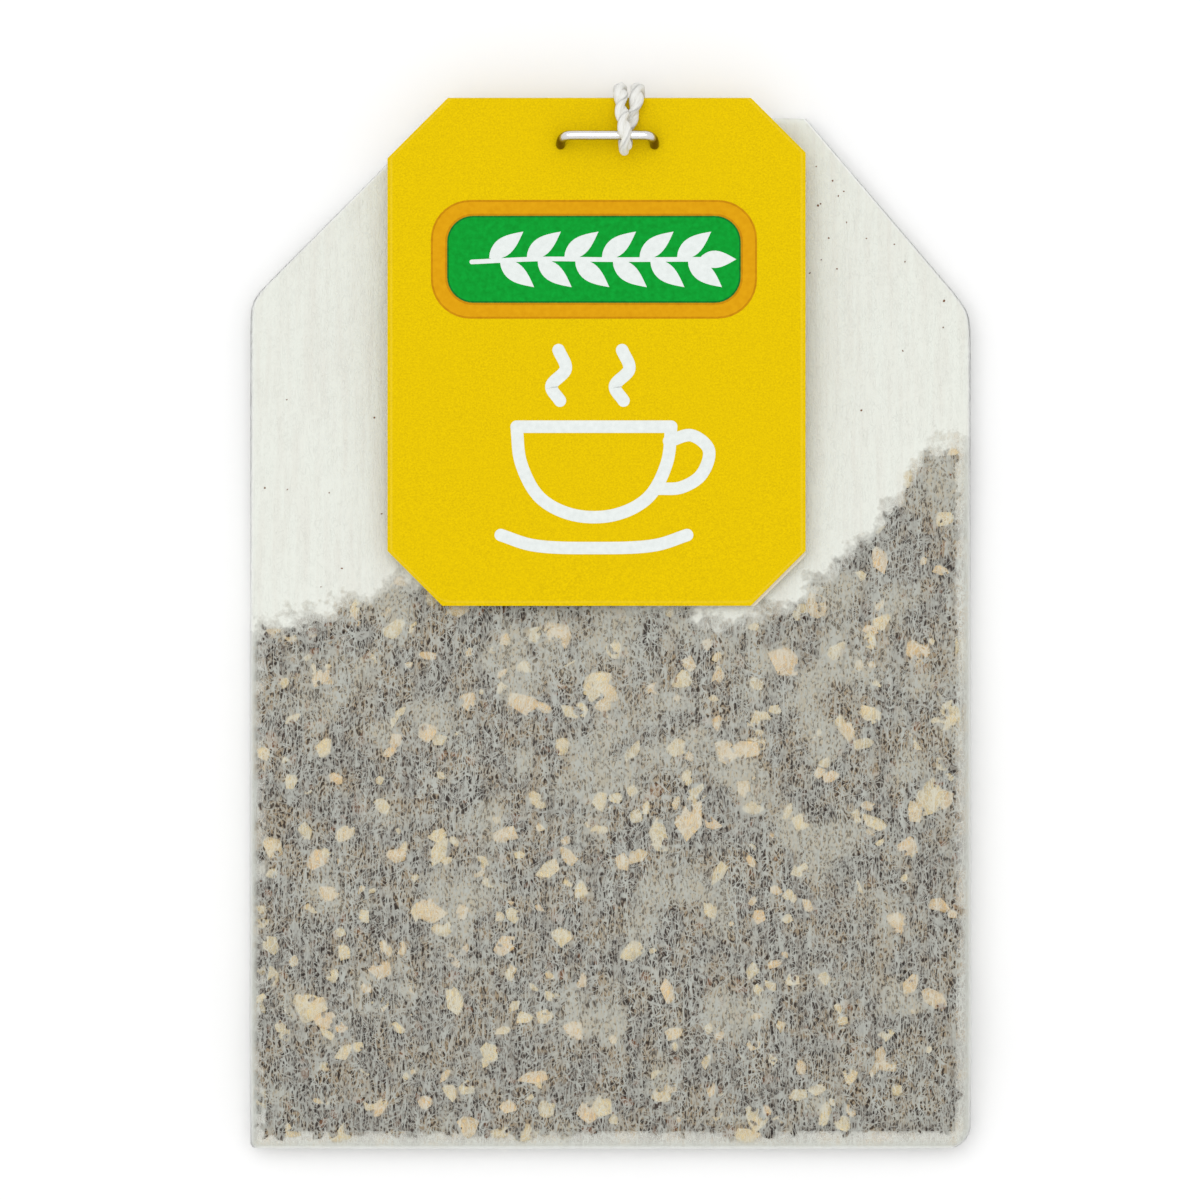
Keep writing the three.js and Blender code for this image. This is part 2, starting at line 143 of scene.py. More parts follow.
# Centripetal Catmull-Rom: each span is a cubic through its ends, with tangents weighted by root chord.
def smoothPath(points, perSpan):
    points = np.asarray(points, float)
    ghosts = [2 * points[0] - points[1], *points, 2 * points[-1] - points[-2]]
    p = np.array(ghosts)
    knots = np.sqrt(np.linalg.norm(np.diff(p, axis=0), axis=1))
    d0, d1, d2 = (knots[i:len(points) - 1 + i, None] for i in range(3))
    p0, p1, p2, p3 = (p[i:len(points) - 1 + i] for i in range(4))
    m1 = ((p1 - p0) / d0 - (p2 - p0) / (d0 + d1) + (p2 - p1) / d1) * d1
    m2 = ((p2 - p1) / d1 - (p3 - p1) / (d1 + d2) + (p3 - p2) / d2) * d1
    t = np.linspace(0, 1, perSpan, endpoint=False)[:, None, None]
    curve = ((2 * t**3 - 3 * t**2 + 1) * p1 + (t**3 - 2 * t**2 + t) * m1
             + (3 * t**2 - 2 * t**3) * p2 + (t**3 - t**2) * m2)
    return np.vstack([curve.transpose(1, 0, 2).reshape(-1, 3), points[-1:]])


# The same line with points at equal steps of arc length.
def evenPath(points, step):
    run = np.append(0, np.cumsum(np.linalg.norm(np.diff(points, axis=0), axis=1)))
    marks = np.linspace(0, run[-1], int(round(run[-1] / step)) + 1)
    return np.stack([np.interp(marks, run, points[:, i]) for i in range(3)], axis=-1), marks


# Two unit vectors square to the path: up made square to the tangent, and tangent times that.
def pathFrames(path, up):
    tangent = np.gradient(path, axis=0)
    tangent /= np.linalg.norm(tangent, axis=1, keepdims=True)
    first = up - tangent * np.sum(tangent * up, axis=1, keepdims=True)
    first /= np.linalg.norm(first, axis=1, keepdims=True)
    return tangent, first, np.cross(tangent, first)


# Circles round a path's points, each in the plane of two unit vectors.
def rings(path, first, second, radius, around):
    return path[:, None] + radius * (first[:, None] * np.cos(around)[:, None]
                                     + second[:, None] * np.sin(around)[:, None])


# A closed tube: the wall between its rings, and at each end a fan round a point that comes after all the rings.
def tubeFaces(rows, sides):
    index = np.arange(sides)
    after, tip, last = np.roll(index, -1), np.full(sides, rows * sides), (rows - 1) * sides
    return [gridQuads(rows, sides, closed=True), together(after, index, tip),
            together(index + last, after + last, tip + 1)]


string = dict(
    diameter=1.0, bagStaple=(0, 63.5), coilFirst=4.4, coilLast=7.58, coilHeight=2.35,
    coilEnd=65 + 3 * 360, coilStep=15, plies=2, plyOffset=0.20, plyRadius=0.315, twistPitch=3.1, step=0.16,
    perSpan=8, sides=12, unevenness=0.06, unevenLength=1.7, up=(0.31, 0.17, 0.94),
    bagEnd=[(-0.25, 65.2, 2.35), (-0.05, 64.1, 2.35), (0, 62.9, 2.35), (0.35, 61.75, 2.35), (1.2, 61.05, 2.35),
            (2.05, 61.25, 2.35), (3.2, 62.0, 2.35), (4.15, 62.9, 2.35)],
    tagEnd=[(2.1, 71.95, 2.4), (1.95, 72.6, 2.6), (1.9, 73.22, 3.1), (1.88, 73.48, 3.85), (1.84, 73.22, 4.52),
            (1.76, 72.5, 4.75), (1.5, 71.6, 4.74), (1.15, 70.7, 4.72), (1.04, 70.1, 4.73), (1.04, 69.48, 5.02),
            (1.04, 69.28, 5.6), (1.02, 69.6, 6.2), (1, 70.2, 6.49), (0.92, 70.98, 6.2), (0.8, 71.7, 5.4),
            (0.72, 72.4, 4.83), (0.7, 73.1, 4.55), (0.68, 73.46, 3.9), (0.68, 73.2, 3.25), (0.7, 72.6, 3.03),
            (0.72, 71.95, 3.05)],
)


# Flat spiral: the radius grows evenly with the angle, one diameter for each turn.
def stringRoute():
    turn = np.radians(np.arange(0, string["coilEnd"] + 1, string["coilStep"]))
    radius = np.interp(turn, turn[[0, -1]], (string["coilFirst"], string["coilLast"]))
    x = string["bagStaple"][0] + radius * np.cos(turn)
    y = string["bagStaple"][1] + radius * np.sin(turn)
    coil = together(x, y, np.full_like(x, string["coilHeight"]))
    knots = np.vstack([string["bagEnd"], coil, string["tagEnd"]])
    return evenPath(smoothPath(toModel(knots), string["perSpan"]), string["step"] * mm)


# Twisted yarn: each ply is a round tube whose middle circles the path once for each pitch.
def makeString(material):
    path, run = stringRoute()
    tangent, first, second = pathFrames(path, np.array(string["up"]))
    around = np.linspace(0, 2 * np.pi, string["sides"], endpoint=False)
    parts, alongRun, roundPly = [], [], []
    for ply in range(string["plies"]):
        twist = 2 * np.pi * (run / (string["twistPitch"] * mm) + ply / string["plies"])
        outward = first * np.cos(twist)[:, None] + second * np.sin(twist)[:, None]
        middle = path + outward * string["plyOffset"] * mm
        uneven = 1 + string["unevenness"] * smoothField(run / mm / string["unevenLength"], run * 0 + ply, 5)
        radius = (string["plyRadius"] * mm * uneven)[:, None, None]
        ring = rings(middle, outward, np.cross(tangent, outward), radius, around)
        parts.append((np.vstack([ring.reshape(-1, 3), middle[[0, -1]]]), tubeFaces(len(path), string["sides"])))
        alongRun += [np.repeat(run, string["sides"]) / mm, run[[0, -1]] / mm]
        roundPly += [np.tile(around, len(path)), [0, 0]]
    piece = makePiece("cotton_string", *joinParts(parts), [material])
    setAttribute(piece, "alongRun", np.concatenate(alongRun))
    setAttribute(piece, "roundPly", np.concatenate(roundPly))
    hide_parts("string_tag_end", "string_coil", "string_bag_end")
    exitPoint = toModel([(*string["bagStaple"], string["coilHeight"])])[0]
    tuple(exitPoint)
    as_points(path)
    print("string:", round(run[-1] / mm, 1), "mm")


# Node helpers. They add to the tree in work, and give back the socket that holds their result.
work = dict(tree=None, material=None)


# Links what comes from another node, and sets plain values; colours are given without their alpha.
def feed(node, inputs):
    for name, value in inputs.items():
        socket = node.inputs[name]
        if isinstance(value, bpy.types.NodeSocket):
            work["tree"].links.new(value, socket)
        else:
            socket.default_value = (*value, 1.0) if socket.type == "RGBA" else value


def addNode(kind, inputs=None, **settings):
    node = work["tree"].nodes.new(kind)
    for name, value in settings.items():
        setattr(node, name, value)
    feed(node, inputs or {})
    return node


def calc(operation, a, b=0.0):
    return addNode("ShaderNodeMath", {0: a, 1: b}, operation=operation).outputs[0]


def times(a, b):
    return calc("MULTIPLY", a, b)


def plus(a, b):
    return calc("ADD", a, b)


# Linear change of value from one range to another, cut off at the ends; soft makes it an S curve.
def ramp(value, low, high, toLow=0.0, toHigh=1.0, soft=False):
    kind = "SMOOTHSTEP" if soft else "LINEAR"
    return addNode("ShaderNodeMapRange", {"Value": value, "From Min": low, "From Max": high,
                   "To Min": toLow, "To Max": toHigh}, interpolation_type=kind, clamp=True).outputs["Result"]


# One number or colour changed into another by share: a plus share times the difference.
def blendValue(share, a, b):
    return addNode("ShaderNodeMix", {0: share, 2: a, 3: b}, data_type="FLOAT").outputs[0]


def mixColour(share, a, b):
    return addNode("ShaderNodeMix", {0: share, 6: a, 7: b}, data_type="RGBA").outputs[2]


def attribute(name):
    return addNode("ShaderNodeAttribute", attribute_name=name).outputs["Fac"]


def noise(vector, scale, detail=2.0, roughness=0.5):
    return addNode("ShaderNodeTexNoise", {"Vector": vector, "Scale": scale, "Detail": detail,
                   "Roughness": roughness}).outputs["Fac"]


# Noise whose grain is one over scale long on each axis, after the place is turned about z and moved.
def streaks(place, scale, detail=0.0, roughness=0.5, turn=0.0, shift=(0, 0, 0)):
    turned = addNode("ShaderNodeMapping", {"Vector": place, "Rotation": (0, 0, np.radians(turn)),
                     "Location": shift}).outputs[0]
    scaled = addNode("ShaderNodeMapping", {"Vector": turned, "Scale": scale}).outputs[0]
    return noise(scaled, 1.0, detail, roughness)


def bump(height, distance):
    return addNode("ShaderNodeBump", {"Height": height, "Distance": distance * mm}).outputs[0]


# Starts a material, and gives the place on the object in millimetres.
def newMaterial(name):
    material = bpy.data.materials.new(name)
    material.use_nodes = True
    work.update(tree=material.node_tree, material=material)
    coords = addNode("ShaderNodeTexCoord").outputs["Object"]
    return addNode("ShaderNodeVectorMath", {0: coords, "Scale": 1 / mm}, operation="SCALE").outputs[0]


def shaded(inputs):  # feeds the material's shader and gives the material back
    feed(work["tree"].nodes["Principled BSDF"], inputs)
    return work["material"]


fibres = dict(
    layers=[(1, 0.21, 1.7, 0.080), (-14, 0.31, 1.1, 0.052), (24, 0.35, 1.1, 0.048), (62, 0.48, 1.3, 0.034),
            (-50, 0.52, 1.3, 0.030)],
    layerShift=(13.7, 5.1, 1), depthScale=0.7, poreScale=(1 / 0.15, 1 / 0.26, 1), columnScale=(1 / 0.42, 0.12, 1),
    columnShare=0.25, poreEdge=(0.44, 0.60), streakScale=(2.2, 0.14, 1), streakRoughness=0.6,
)


# Thin lines where a stretched noise crosses its middle value, laid over each other at several angles.
def fibreWeb():
    group = work["tree"] = bpy.data.node_groups.new("fibreWeb", "ShaderNodeTree")
    group.interface.new_socket("Position", in_out="INPUT", socket_type="NodeSocketVector")
    fullness = group.interface.new_socket("Fullness", in_out="INPUT", socket_type="NodeSocketFloat")
    fullness.default_value = 1.0
    for name in ("Fibres", "Pores", "Streaks"):
        group.interface.new_socket(name, in_out="OUTPUT", socket_type="NodeSocketFloat")
    given = group.nodes.new("NodeGroupInput").outputs
    place, web = given["Position"], None
    for number, (turn, across, along, width) in enumerate(fibres["layers"]):
        scale = 1 / across, 1 / along, fibres["depthScale"]
        shift = [step * number for step in fibres["layerShift"]]
        crossing = calc("SUBTRACT", streaks(place, scale, turn=turn, shift=shift), 0.5)
        limit = times(given["Fullness"], width)
        near = calc("DIVIDE", calc("ABSOLUTE", crossing), limit)
        line = ramp(near, 0.2, 1.0, 1.0, 0.0, soft=True)
        web = line if web is None else calc("MAXIMUM", web, line)
    cells, columns = (streaks(place, fibres[name]) for name in ("poreScale", "columnScale"))
    share = fibres["columnShare"]
    openness = plus(times(cells, 1 - share), times(columns, share))
    feed(group.nodes.new("NodeGroupOutput"), {
        "Fibres": web, "Pores": ramp(openness, *fibres["poreEdge"], soft=True),
        "Streaks": streaks(place, fibres["streakScale"], 2.0, fibres["streakRoughness"])})
    return group


fibreWebGroup = fibreWeb()


def webAt(place, fullness=1.0):
    return addNode("ShaderNodeGroup", {"Position": place, "Fullness": fullness},
                   node_tree=fibreWebGroup).outputs


skin = dict(
    filmCover=0.46, fibreCover=0.66, poreCover=0.03, hazeCover=0.70, emptyCover=0.94, bandCover=0.80,
    lightThrough=0.75, hazeSize=4.2, hazeMiddle=(4, -1, 0), hazeReach=26, hazeLean=(0.09, -0.05),
    hazeEdge=(0.49, 0.68), tanSize=2.2, tanEdge=(0.44, 0.61), tornScale=0.55, tornReach=1.3,
    teaEdge=(-0.3, 1.5), bandEdge=(0.15, 0.95), litRimEdge=(0.03, 0.25),
    film=(0.44, 0.405, 0.345), tan=(0.62, 0.485, 0.31), haze=(0.64, 0.58, 0.445),
    fibre=(0.68, 0.70, 0.64), empty=(0.80, 0.82, 0.755), emptyStreak=(0.765, 0.765, 0.70),
    # The grey along the edges is painted shade, and the near white rim is painted light.
    shadedEdgeBand=(0.65, 0.67, 0.62), rim=(0.96, 0.97, 0.95),
)


# Cover is how much of what lies under the sheet is hidden: most at the fibres, least at the pores. Over empty
# paper the two layers and the pale inside add up, so the sheet is whole there, down to a ragged line at the tea.
# Rays that carry the lamp's light in meet less cover, as thin paper spreads light and doesn't stop it.
def skinMaterial():
    place = newMaterial("filterPaperSkin")
    web = webAt(place)
    away = addNode("ShaderNodeVectorMath", {0: place, 1: skin["hazeMiddle"]}, operation="DISTANCE")
    far = calc("DIVIDE", away.outputs["Value"], skin["hazeReach"])
    cloudy = streaks(place, (1 / skin["hazeSize"], 1 / skin["hazeSize"], 1), 2.0, 0.55)
    cloudy = plus(cloudy, ramp(far, 0.0, 1.4, *skin["hazeLean"]))
    haze = ramp(cloudy, *skin["hazeEdge"], soft=True)
    film = ramp(haze, 0, 1, skin["filmCover"], skin["hazeCover"])
    pores = times(web["Pores"], ramp(haze, 0, 1, 1.0, 0.55))
    lines = times(web["Fibres"], ramp(web["Streaks"], 0.3, 0.7, 0.55, 1.0))
    cover = blendValue(lines, blendValue(pores, film, skin["poreCover"]), skin["fibreCover"])
    torn = ramp(noise(place, skin["tornScale"], 3.0, 0.7), 0.3, 0.7,
                -skin["tornReach"], skin["tornReach"])
    empty = ramp(plus(attribute("aboveTea"), torn), *skin["teaEdge"])
    fromEdge = attribute("fromEdge")
    # Within a millimetre of the edges the sheet hides the tea and is painted a darker grey: painted shade where
    # the paper rolls away at the edges.
    shadedEdgeBand = ramp(fromEdge, *skin["bandEdge"], 1.0, 0.0, soft=True)
    for over, most in ((shadedEdgeBand, skin["bandCover"]), (empty, skin["emptyCover"])):
        cover = calc("MAXIMUM", cover, times(over, most))
    shadowRay = addNode("ShaderNodeLightPath").outputs["Is Shadow Ray"]
    dimmed = calc("SUBTRACT", 1.0, times(shadowRay, skin["lightThrough"]))
    blotch = ramp(noise(place, 1 / skin["tanSize"], 2.0, 0.6), *skin["tanEdge"], 0.0, 0.9, soft=True)
    plain = mixColour(ramp(web["Streaks"], 0.25, 0.6, 1.0, 0.0), skin["empty"], skin["emptyStreak"])
    # The rim is painted nearly white: painted light that takes away the shade on the steep paper at the very edge.
    rim = ramp(fromEdge, *skin["litRimEdge"], 1.0, 0.0)
    tone = skin["film"]
    for share, toned in ((blotch, skin["tan"]), (haze, skin["haze"]), (lines, skin["fibre"]),
                         (times(shadedEdgeBand, 0.8), skin["shadedEdgeBand"]), (empty, plain), (rim, skin["rim"])):
        tone = mixColour(share, tone, toned)
    height = plus(web["Fibres"], times(web["Streaks"], 0.8))
    return shaded({"Base Color": tone, "Alpha": times(cover, dimmed), "Roughness": 0.85,
                   "Specular IOR Level": 0.1, "Normal": bump(height, 0.012)})


def liningMaterial():
    place = newMaterial("filterPaperLining")
    web = webAt(place, 1.2)
    tone = mixColour(web["Streaks"], (0.86, 0.86, 0.80), (0.92, 0.92, 0.87))
    tone = mixColour(times(web["Fibres"], 0.4), tone, (0.93, 0.93, 0.89))
    return shaded({"Base Color": tone, "Roughness": 0.9, "Specular IOR Level": 0.2,
                   "Normal": bump(plus(web["Fibres"], web["Streaks"]), 0.02)})


bag = dict(
    halfWidth=25, length=71.6, paper=0.05, pressedHalf=0.07, fullHalf=1.12, layerGap=0.05, fullness=3,
    riseEnd=9, fallStart=26, fallEnd=58, settle=0.3, floorGap=0.01, headHeight=1.6, heightBlend=0.12,
    gussetPeak=10, gussetLeaf=0.13, gussetRoom=0.2, gussetRows=(2, 3.5, 5, 6.5, 8, 9.2), gussetEase=(0.2, 3),
    cornerLeft=0.5, cornerRight=1.7, creaseLeft=(58.9, 1.0), creaseRight=(58.1, 0.852), creaseSoftness=0.35,
    headFlap=10, frontLayer=0.12, flapAxis=-0.33, flapTop=-0.23, flapThick=0.2, flapLumps=(0.04, 3), flapGrid=26,
    creaseWidth=0.6, creaseRounding=0.15, creaseBelow=1.2, creaseAbove=0.3, creaseRows=40, creaseUnder=0.08,
    creaseInset=0.05, filled=(0.3, 0.9), creased=((0, 6), (60, 71)), columns=100, backColumns=36, evenShare=0.55,
    legStep=0.6, lowRows=(1.75, 1.4, 1.1, 0.82, 0.6, 0.42, 0.29), lowStart=2.2, flapRows=12,
    waves=[(0.05, 1.4, 1.7, 0, 0), (0.09, 4.5, 6, 7, 0), (0.035, 2.2, 17, 3, 0), (0.05, 9, 14, 0, 5)],
)


def softMax(a, b, k):  # k times the log of the sum of e^(a/k) and e^(b/k)
    return k * np.logaddexp(a / k, b / k)


def smoothStep(value, low, high):
    t = np.clip((value - low) / (high - low), 0, 1)
    return t * t * (3 - 2 * t)


# Half thickness of a chamber: a sine rise to the power 0.8 from the bottom, and a cosine fall to the head.
def chamberHalf(y):
    rise = np.sin(np.pi / 2 * np.clip(y / bag["riseEnd"], 0, 1)) ** 0.8
    fall = np.clip((y - bag["fallStart"]) / (bag["fallEnd"] - bag["fallStart"]), 0, 1)
    return bag["pressedHalf"] + (bag["fullHalf"] - bag["pressedHalf"]) * rise * (1 + np.cos(np.pi * fall)) / 2


def roomForGusset(y):
    start, end = (bag["gussetPeak"] + ease for ease in bag["gussetEase"])
    return bag["gussetRoom"] * (1 - smoothStep(y, start, end))


def middleHeight(y):  # the plane between the chambers: what the back one needs, or the head's height
    resting = 2 * chamberHalf(y) + bag["layerGap"] + roomForGusset(y) - bag["settle"]
    return softMax(resting, bag["headHeight"], bag["heightBlend"])


def chamberHeight(y, side):  # side is 1 for the front chamber and -1 for the back one
    return middleHeight(y) + side * (bag["layerGap"] + roomForGusset(y) + chamberHalf(y))


# Distance from centre line to edge: the smaller of the half width and the slanting crease, less the corner.
def edgeDistance(y, crease, corner):
    sloping = bag["halfWidth"] - (y - crease[0]) * crease[1]
    lift = np.maximum(0, corner - y)
    width = -softMax(-bag["halfWidth"] + 0 * y, -sloping, bag["creaseSoftness"])
    return width - corner + np.sqrt(corner**2 - lift**2)


def edgeAt(x, y):  # the edge distance on the side that x is on
    return np.where(x > 0, edgeDistance(y, bag["creaseRight"], bag["cornerRight"]),
                    edgeDistance(y, bag["creaseLeft"], bag["cornerLeft"]))


# Height of a chamber's outer paper at a point: a super-ellipse arch over the chamber's middle.
def paperHeight(x, y, side):
    arch = np.clip(1 - np.abs(x / edgeAt(x, y)) ** bag["fullness"], 0, 1) ** (1 / bag["fullness"])
    lift = chamberHalf(y) * arch + wrinkles(x, y, side) * arch
    return np.maximum(bag["floorGap"], chamberHeight(y, side) + side * lift)


# Small rises and hollows of the paper over the tea, and long shallow creases along it.
def wrinkles(x, y, side):
    lumps, wideLumps, creases, wideCreases = (
        high * smoothField(x / across + shiftX, y / along + shiftY, 11 + number + side)
        for number, (high, across, along, shiftX, shiftY) in enumerate(bag["waves"]))
    start, end = bag["creased"]
    filled = smoothStep(chamberHalf(y), *bag["filled"])
    return (filled * (lumps + wideLumps)
            + (creases + wideCreases) * smoothStep(y, *start) * (1 - smoothStep(y, *end)))


# Rows of the folded tube from the front flap's end over the head, down, through the W fold, up and over again:
# y, z, half thickness, two parts of the outward normal, how far up the strip reaches there, and which side shows.
def tubeRows():
    rows = []

    def straight(y, z, normal, unfolded=None, half=None, shows=0):
        y = np.asarray(y, float)
        half = chamberHalf(y) if half is None else half
        rows.append(together(y, z, half, 0, normal, y if unfolded is None else unfolded, shows))

    def arc(y, z, radius, start, stop, steps, outward, shows=0):
        angle = np.radians(np.linspace(start, stop, steps + 1))[1:-1]
        c, s = np.cos(angle), np.sin(angle)
        bentY = y + radius * c
        rows.append(together(bentY, z + radius * s, bag["pressedHalf"], outward * c, outward * s, bentY, shows))

    length, pressed = bag["length"], bag["pressedHalf"]
    outerTurn, innerTurn = bag["frontLayer"] - bag["flapAxis"], -bag["frontLayer"] - bag["flapAxis"]
    turnY = length - outerTurn - pressed
    axis = bag["headHeight"] + bag["flapAxis"]
    flap = np.linspace(length - bag["headFlap"], turnY, bag["flapRows"])
    low = bag["lowStart"]
    leg = np.append(np.linspace(turnY, low, int((turnY - low) / bag["legStep"])), bag["lowRows"])
    bottomTurn = (bag["layerGap"] + bag["gussetRoom"] + pressed - bag["gussetLeaf"]) / 2
    bottomY, middle = bottomTurn + pressed, middleHeight(0.0)
    turnHeight = bag["gussetLeaf"] + bottomTurn
    leaf = np.array([bottomY, *bag["gussetRows"], bag["gussetPeak"]])

    straight(flap, axis - outerTurn, -1, 2 * length - flap, pressed)
    arc(turnY, axis, outerTurn, -90, 90, 8, 1, 1)
    straight(leg, chamberHeight(leg, 1), 1, shows=1)
    straight([bottomY], middle + turnHeight + bottomTurn, 1, half=pressed, shows=1)
    arc(bottomY, middle + turnHeight, bottomTurn, 90, 270, 8, 1, 1)
    straight(leaf, middleHeight(leaf) + bag["gussetLeaf"], -1, half=pressed)
    arc(bag["gussetPeak"], middleHeight(bag["gussetPeak"]), bag["gussetLeaf"], 90, -90, 6, -1)
    straight(leaf[::-1], middleHeight(leaf[::-1]) - bag["gussetLeaf"], 1, half=pressed)
    arc(bottomY, middle - turnHeight, bottomTurn, 90, 270, 8, 1, 1)
    straight([bottomY], middle - turnHeight - bottomTurn, -1, half=pressed, shows=1)
    straight(leg[::-1], chamberHeight(leg[::-1], -1), -1, shows=-1)
    arc(turnY, axis, innerTurn, 90, -90, 6, -1)
    straight(flap[::-1], axis - innerTurn, 1, 2 * length - flap[::-1], pressed)
    return np.concatenate(rows)


# Loop of the tube's section, outer half then inner half: up is the root of one minus across cubed.
def sectionLoop():
    def spread(count):
        t = np.linspace(1, -1, count + 1)
        return bag["evenShare"] * t + (1 - bag["evenShare"]) * np.sin(np.pi / 2 * t)
    across = np.concatenate([spread(bag["columns"]), -spread(bag["backColumns"])[1:-1]])
    up = np.clip(1 - np.abs(across) ** bag["fullness"], 0, 1) ** (1 / bag["fullness"])
    return across, np.where(np.arange(len(across)) <= bag["columns"], up, -up)


# The wall's grid: across times the edge distance, and half thickness times up along the row's normal.
def tubeWall(rows, across, up):
    y, z, half, normalY, normalZ, unfolded, shows = (rows[:, [i]] for i in range(7))
    side = edgeAt(across, unfolded)
    x = side * across
    ripple = np.where(normalZ > 0, wrinkles(x, y, 1), wrinkles(x, y, -1)) * up
    ripple = np.where((shows != 0) & (up > 0) & (np.abs(normalZ) == 1), ripple, 0)
    lift = half * up + ripple
    points = together(x, y + normalY * lift, np.maximum(bag["floorGap"], z + normalZ * lift))
    fromEdge = np.minimum((side - np.abs(x)), np.where(normalZ == 0, 0, np.maximum(y, 0)))
    return points, fromEdge


def makeBag(skinPaper, liningPaper):
    rows = tubeRows()
    across, up = sectionLoop()
    outer, fromEdge = tubeWall(rows, across, up)
    count, far = len(across), 5.0
    onSkin = (np.arange(count) < bag["columns"]) & (rows[:-1, 6] != 0)[:, None]
    mouths = outer[[0, -1]].mean(axis=1)
    parts = [(np.vstack([outer.reshape(-1, 3), mouths]), tubeFaces(len(rows), count))]
    for side, crease in ((-1, bag["creaseLeft"]), (1, bag["creaseRight"])):
        parts += cornerFlap(side, crease)
    points, sets = joinParts(parts)
    slots = [np.where(onSkin, 0, 1).ravel()] + [1] * (len(sets) - 1)
    piece = makePiece("filter_paper", toModel(points), sets, [skinPaper, liningPaper], slots)
    setAttribute(piece, "fromEdge", np.append(fromEdge.ravel(), np.full(len(points) - fromEdge.size, far)))
    setAttribute(piece, "aboveTea", np.clip(points[:, 1] - teaTop(points[:, 0]), -6, 6))
    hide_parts("filter_paper_bag")
    print("paper:", len(piece.data.polygons), "faces")


# A corner folded to the back: its outline is the strip's end mirrored in the crease, cut off under the head fold.
def cornerFlap(side, crease):
    top = bag["length"] - bag["frontLayer"] + bag["flapAxis"] - 2 * bag["pressedHalf"]
    sloping = lambda y: side * (bag["halfWidth"] - (y - crease[0]) * crease[1])
    foot, head = np.array([side * bag["halfWidth"], crease[0]]), np.array([sloping(top), top])
    along = (head - foot) / np.linalg.norm(head - foot)
    mirrored = lambda p: foot + 2 * along * np.dot(p - foot, along) - (p - foot)
    tubeEnd = bag["length"] + bag["headFlap"]
    corner = mirrored(np.array([side * bag["halfWidth"], tubeEnd]))
    endMiddle = np.array([sloping(tubeEnd), tubeEnd])
    cut = corner + (endMiddle - corner) * (top - corner[1]) / (endMiddle[1] - corner[1])
    inward = np.array([-side * along[1], side * along[0]])
    inset = inward * bag["creaseWidth"] / 2
    start, finish = foot + along * bag["creaseBelow"] + inset, head - along * bag["creaseAbove"] + inset

    grid = bag["flapGrid"]
    s, t = np.meshgrid(np.linspace(0, 1, grid), np.linspace(0, 1, grid))
    flat = (start * ((1 - s) * (1 - t))[..., None] + finish * (s * (1 - t))[..., None]
            + corner * ((1 - s) * t)[..., None] + cut * (s * t)[..., None])
    z = bag["headHeight"] + bag["flapTop"] + 0 * s
    high, wide = bag["flapLumps"]
    upper = np.dstack([flat, z])
    lumps = high * smoothField(flat[..., 0] / wide, flat[..., 1] / wide, 31)
    lower = np.dstack([flat, z - bag["flapThick"] - lumps])
    leaf = [faces[:, ::-side] for faces in sheetQuads(grid, grid)]  # the right flap's faces run the other way
    yield np.concatenate([upper.reshape(-1, 3), lower.reshape(-1, 3)]), leaf

    reach, rounding = bag["creaseWidth"] / 2, bag["creaseRounding"]
    low = bag["flapTop"] - bag["flapThick"]
    high = bag["frontLayer"] + bag["pressedHalf"] - bag["creaseUnder"]
    bend = np.radians(np.linspace(-90, 0, 5))
    c, s = rounding * np.cos(bend), rounding * np.sin(bend)
    out = np.concatenate([[-reach], reach - rounding + c, reach - rounding + c[::-1], [-reach]])
    out -= bag["creaseInset"]
    up = np.concatenate([[low], low + rounding + s, high - rounding - s[::-1], [high]])
    count, size = bag["creaseRows"], len(up)
    base = start + (finish - start) * np.linspace(0, 1, count)[:, None]
    strip = np.concatenate([base[:, None] - inward * out[None, :, None],
                            np.broadcast_to(bag["headHeight"] + up[None, :, None], (count, size, 1))], axis=-1)
    index = np.arange(size // 2 - 1)
    cap = together(index, index + 1, size - 2 - index, size - 1 - index)
    quads = gridQuads(count, size, closed=True), cap, cap[:, ::-1] + (count - 1) * size
    yield strip.reshape(-1, 3), [faces[:, ::-side] for faces in quads]


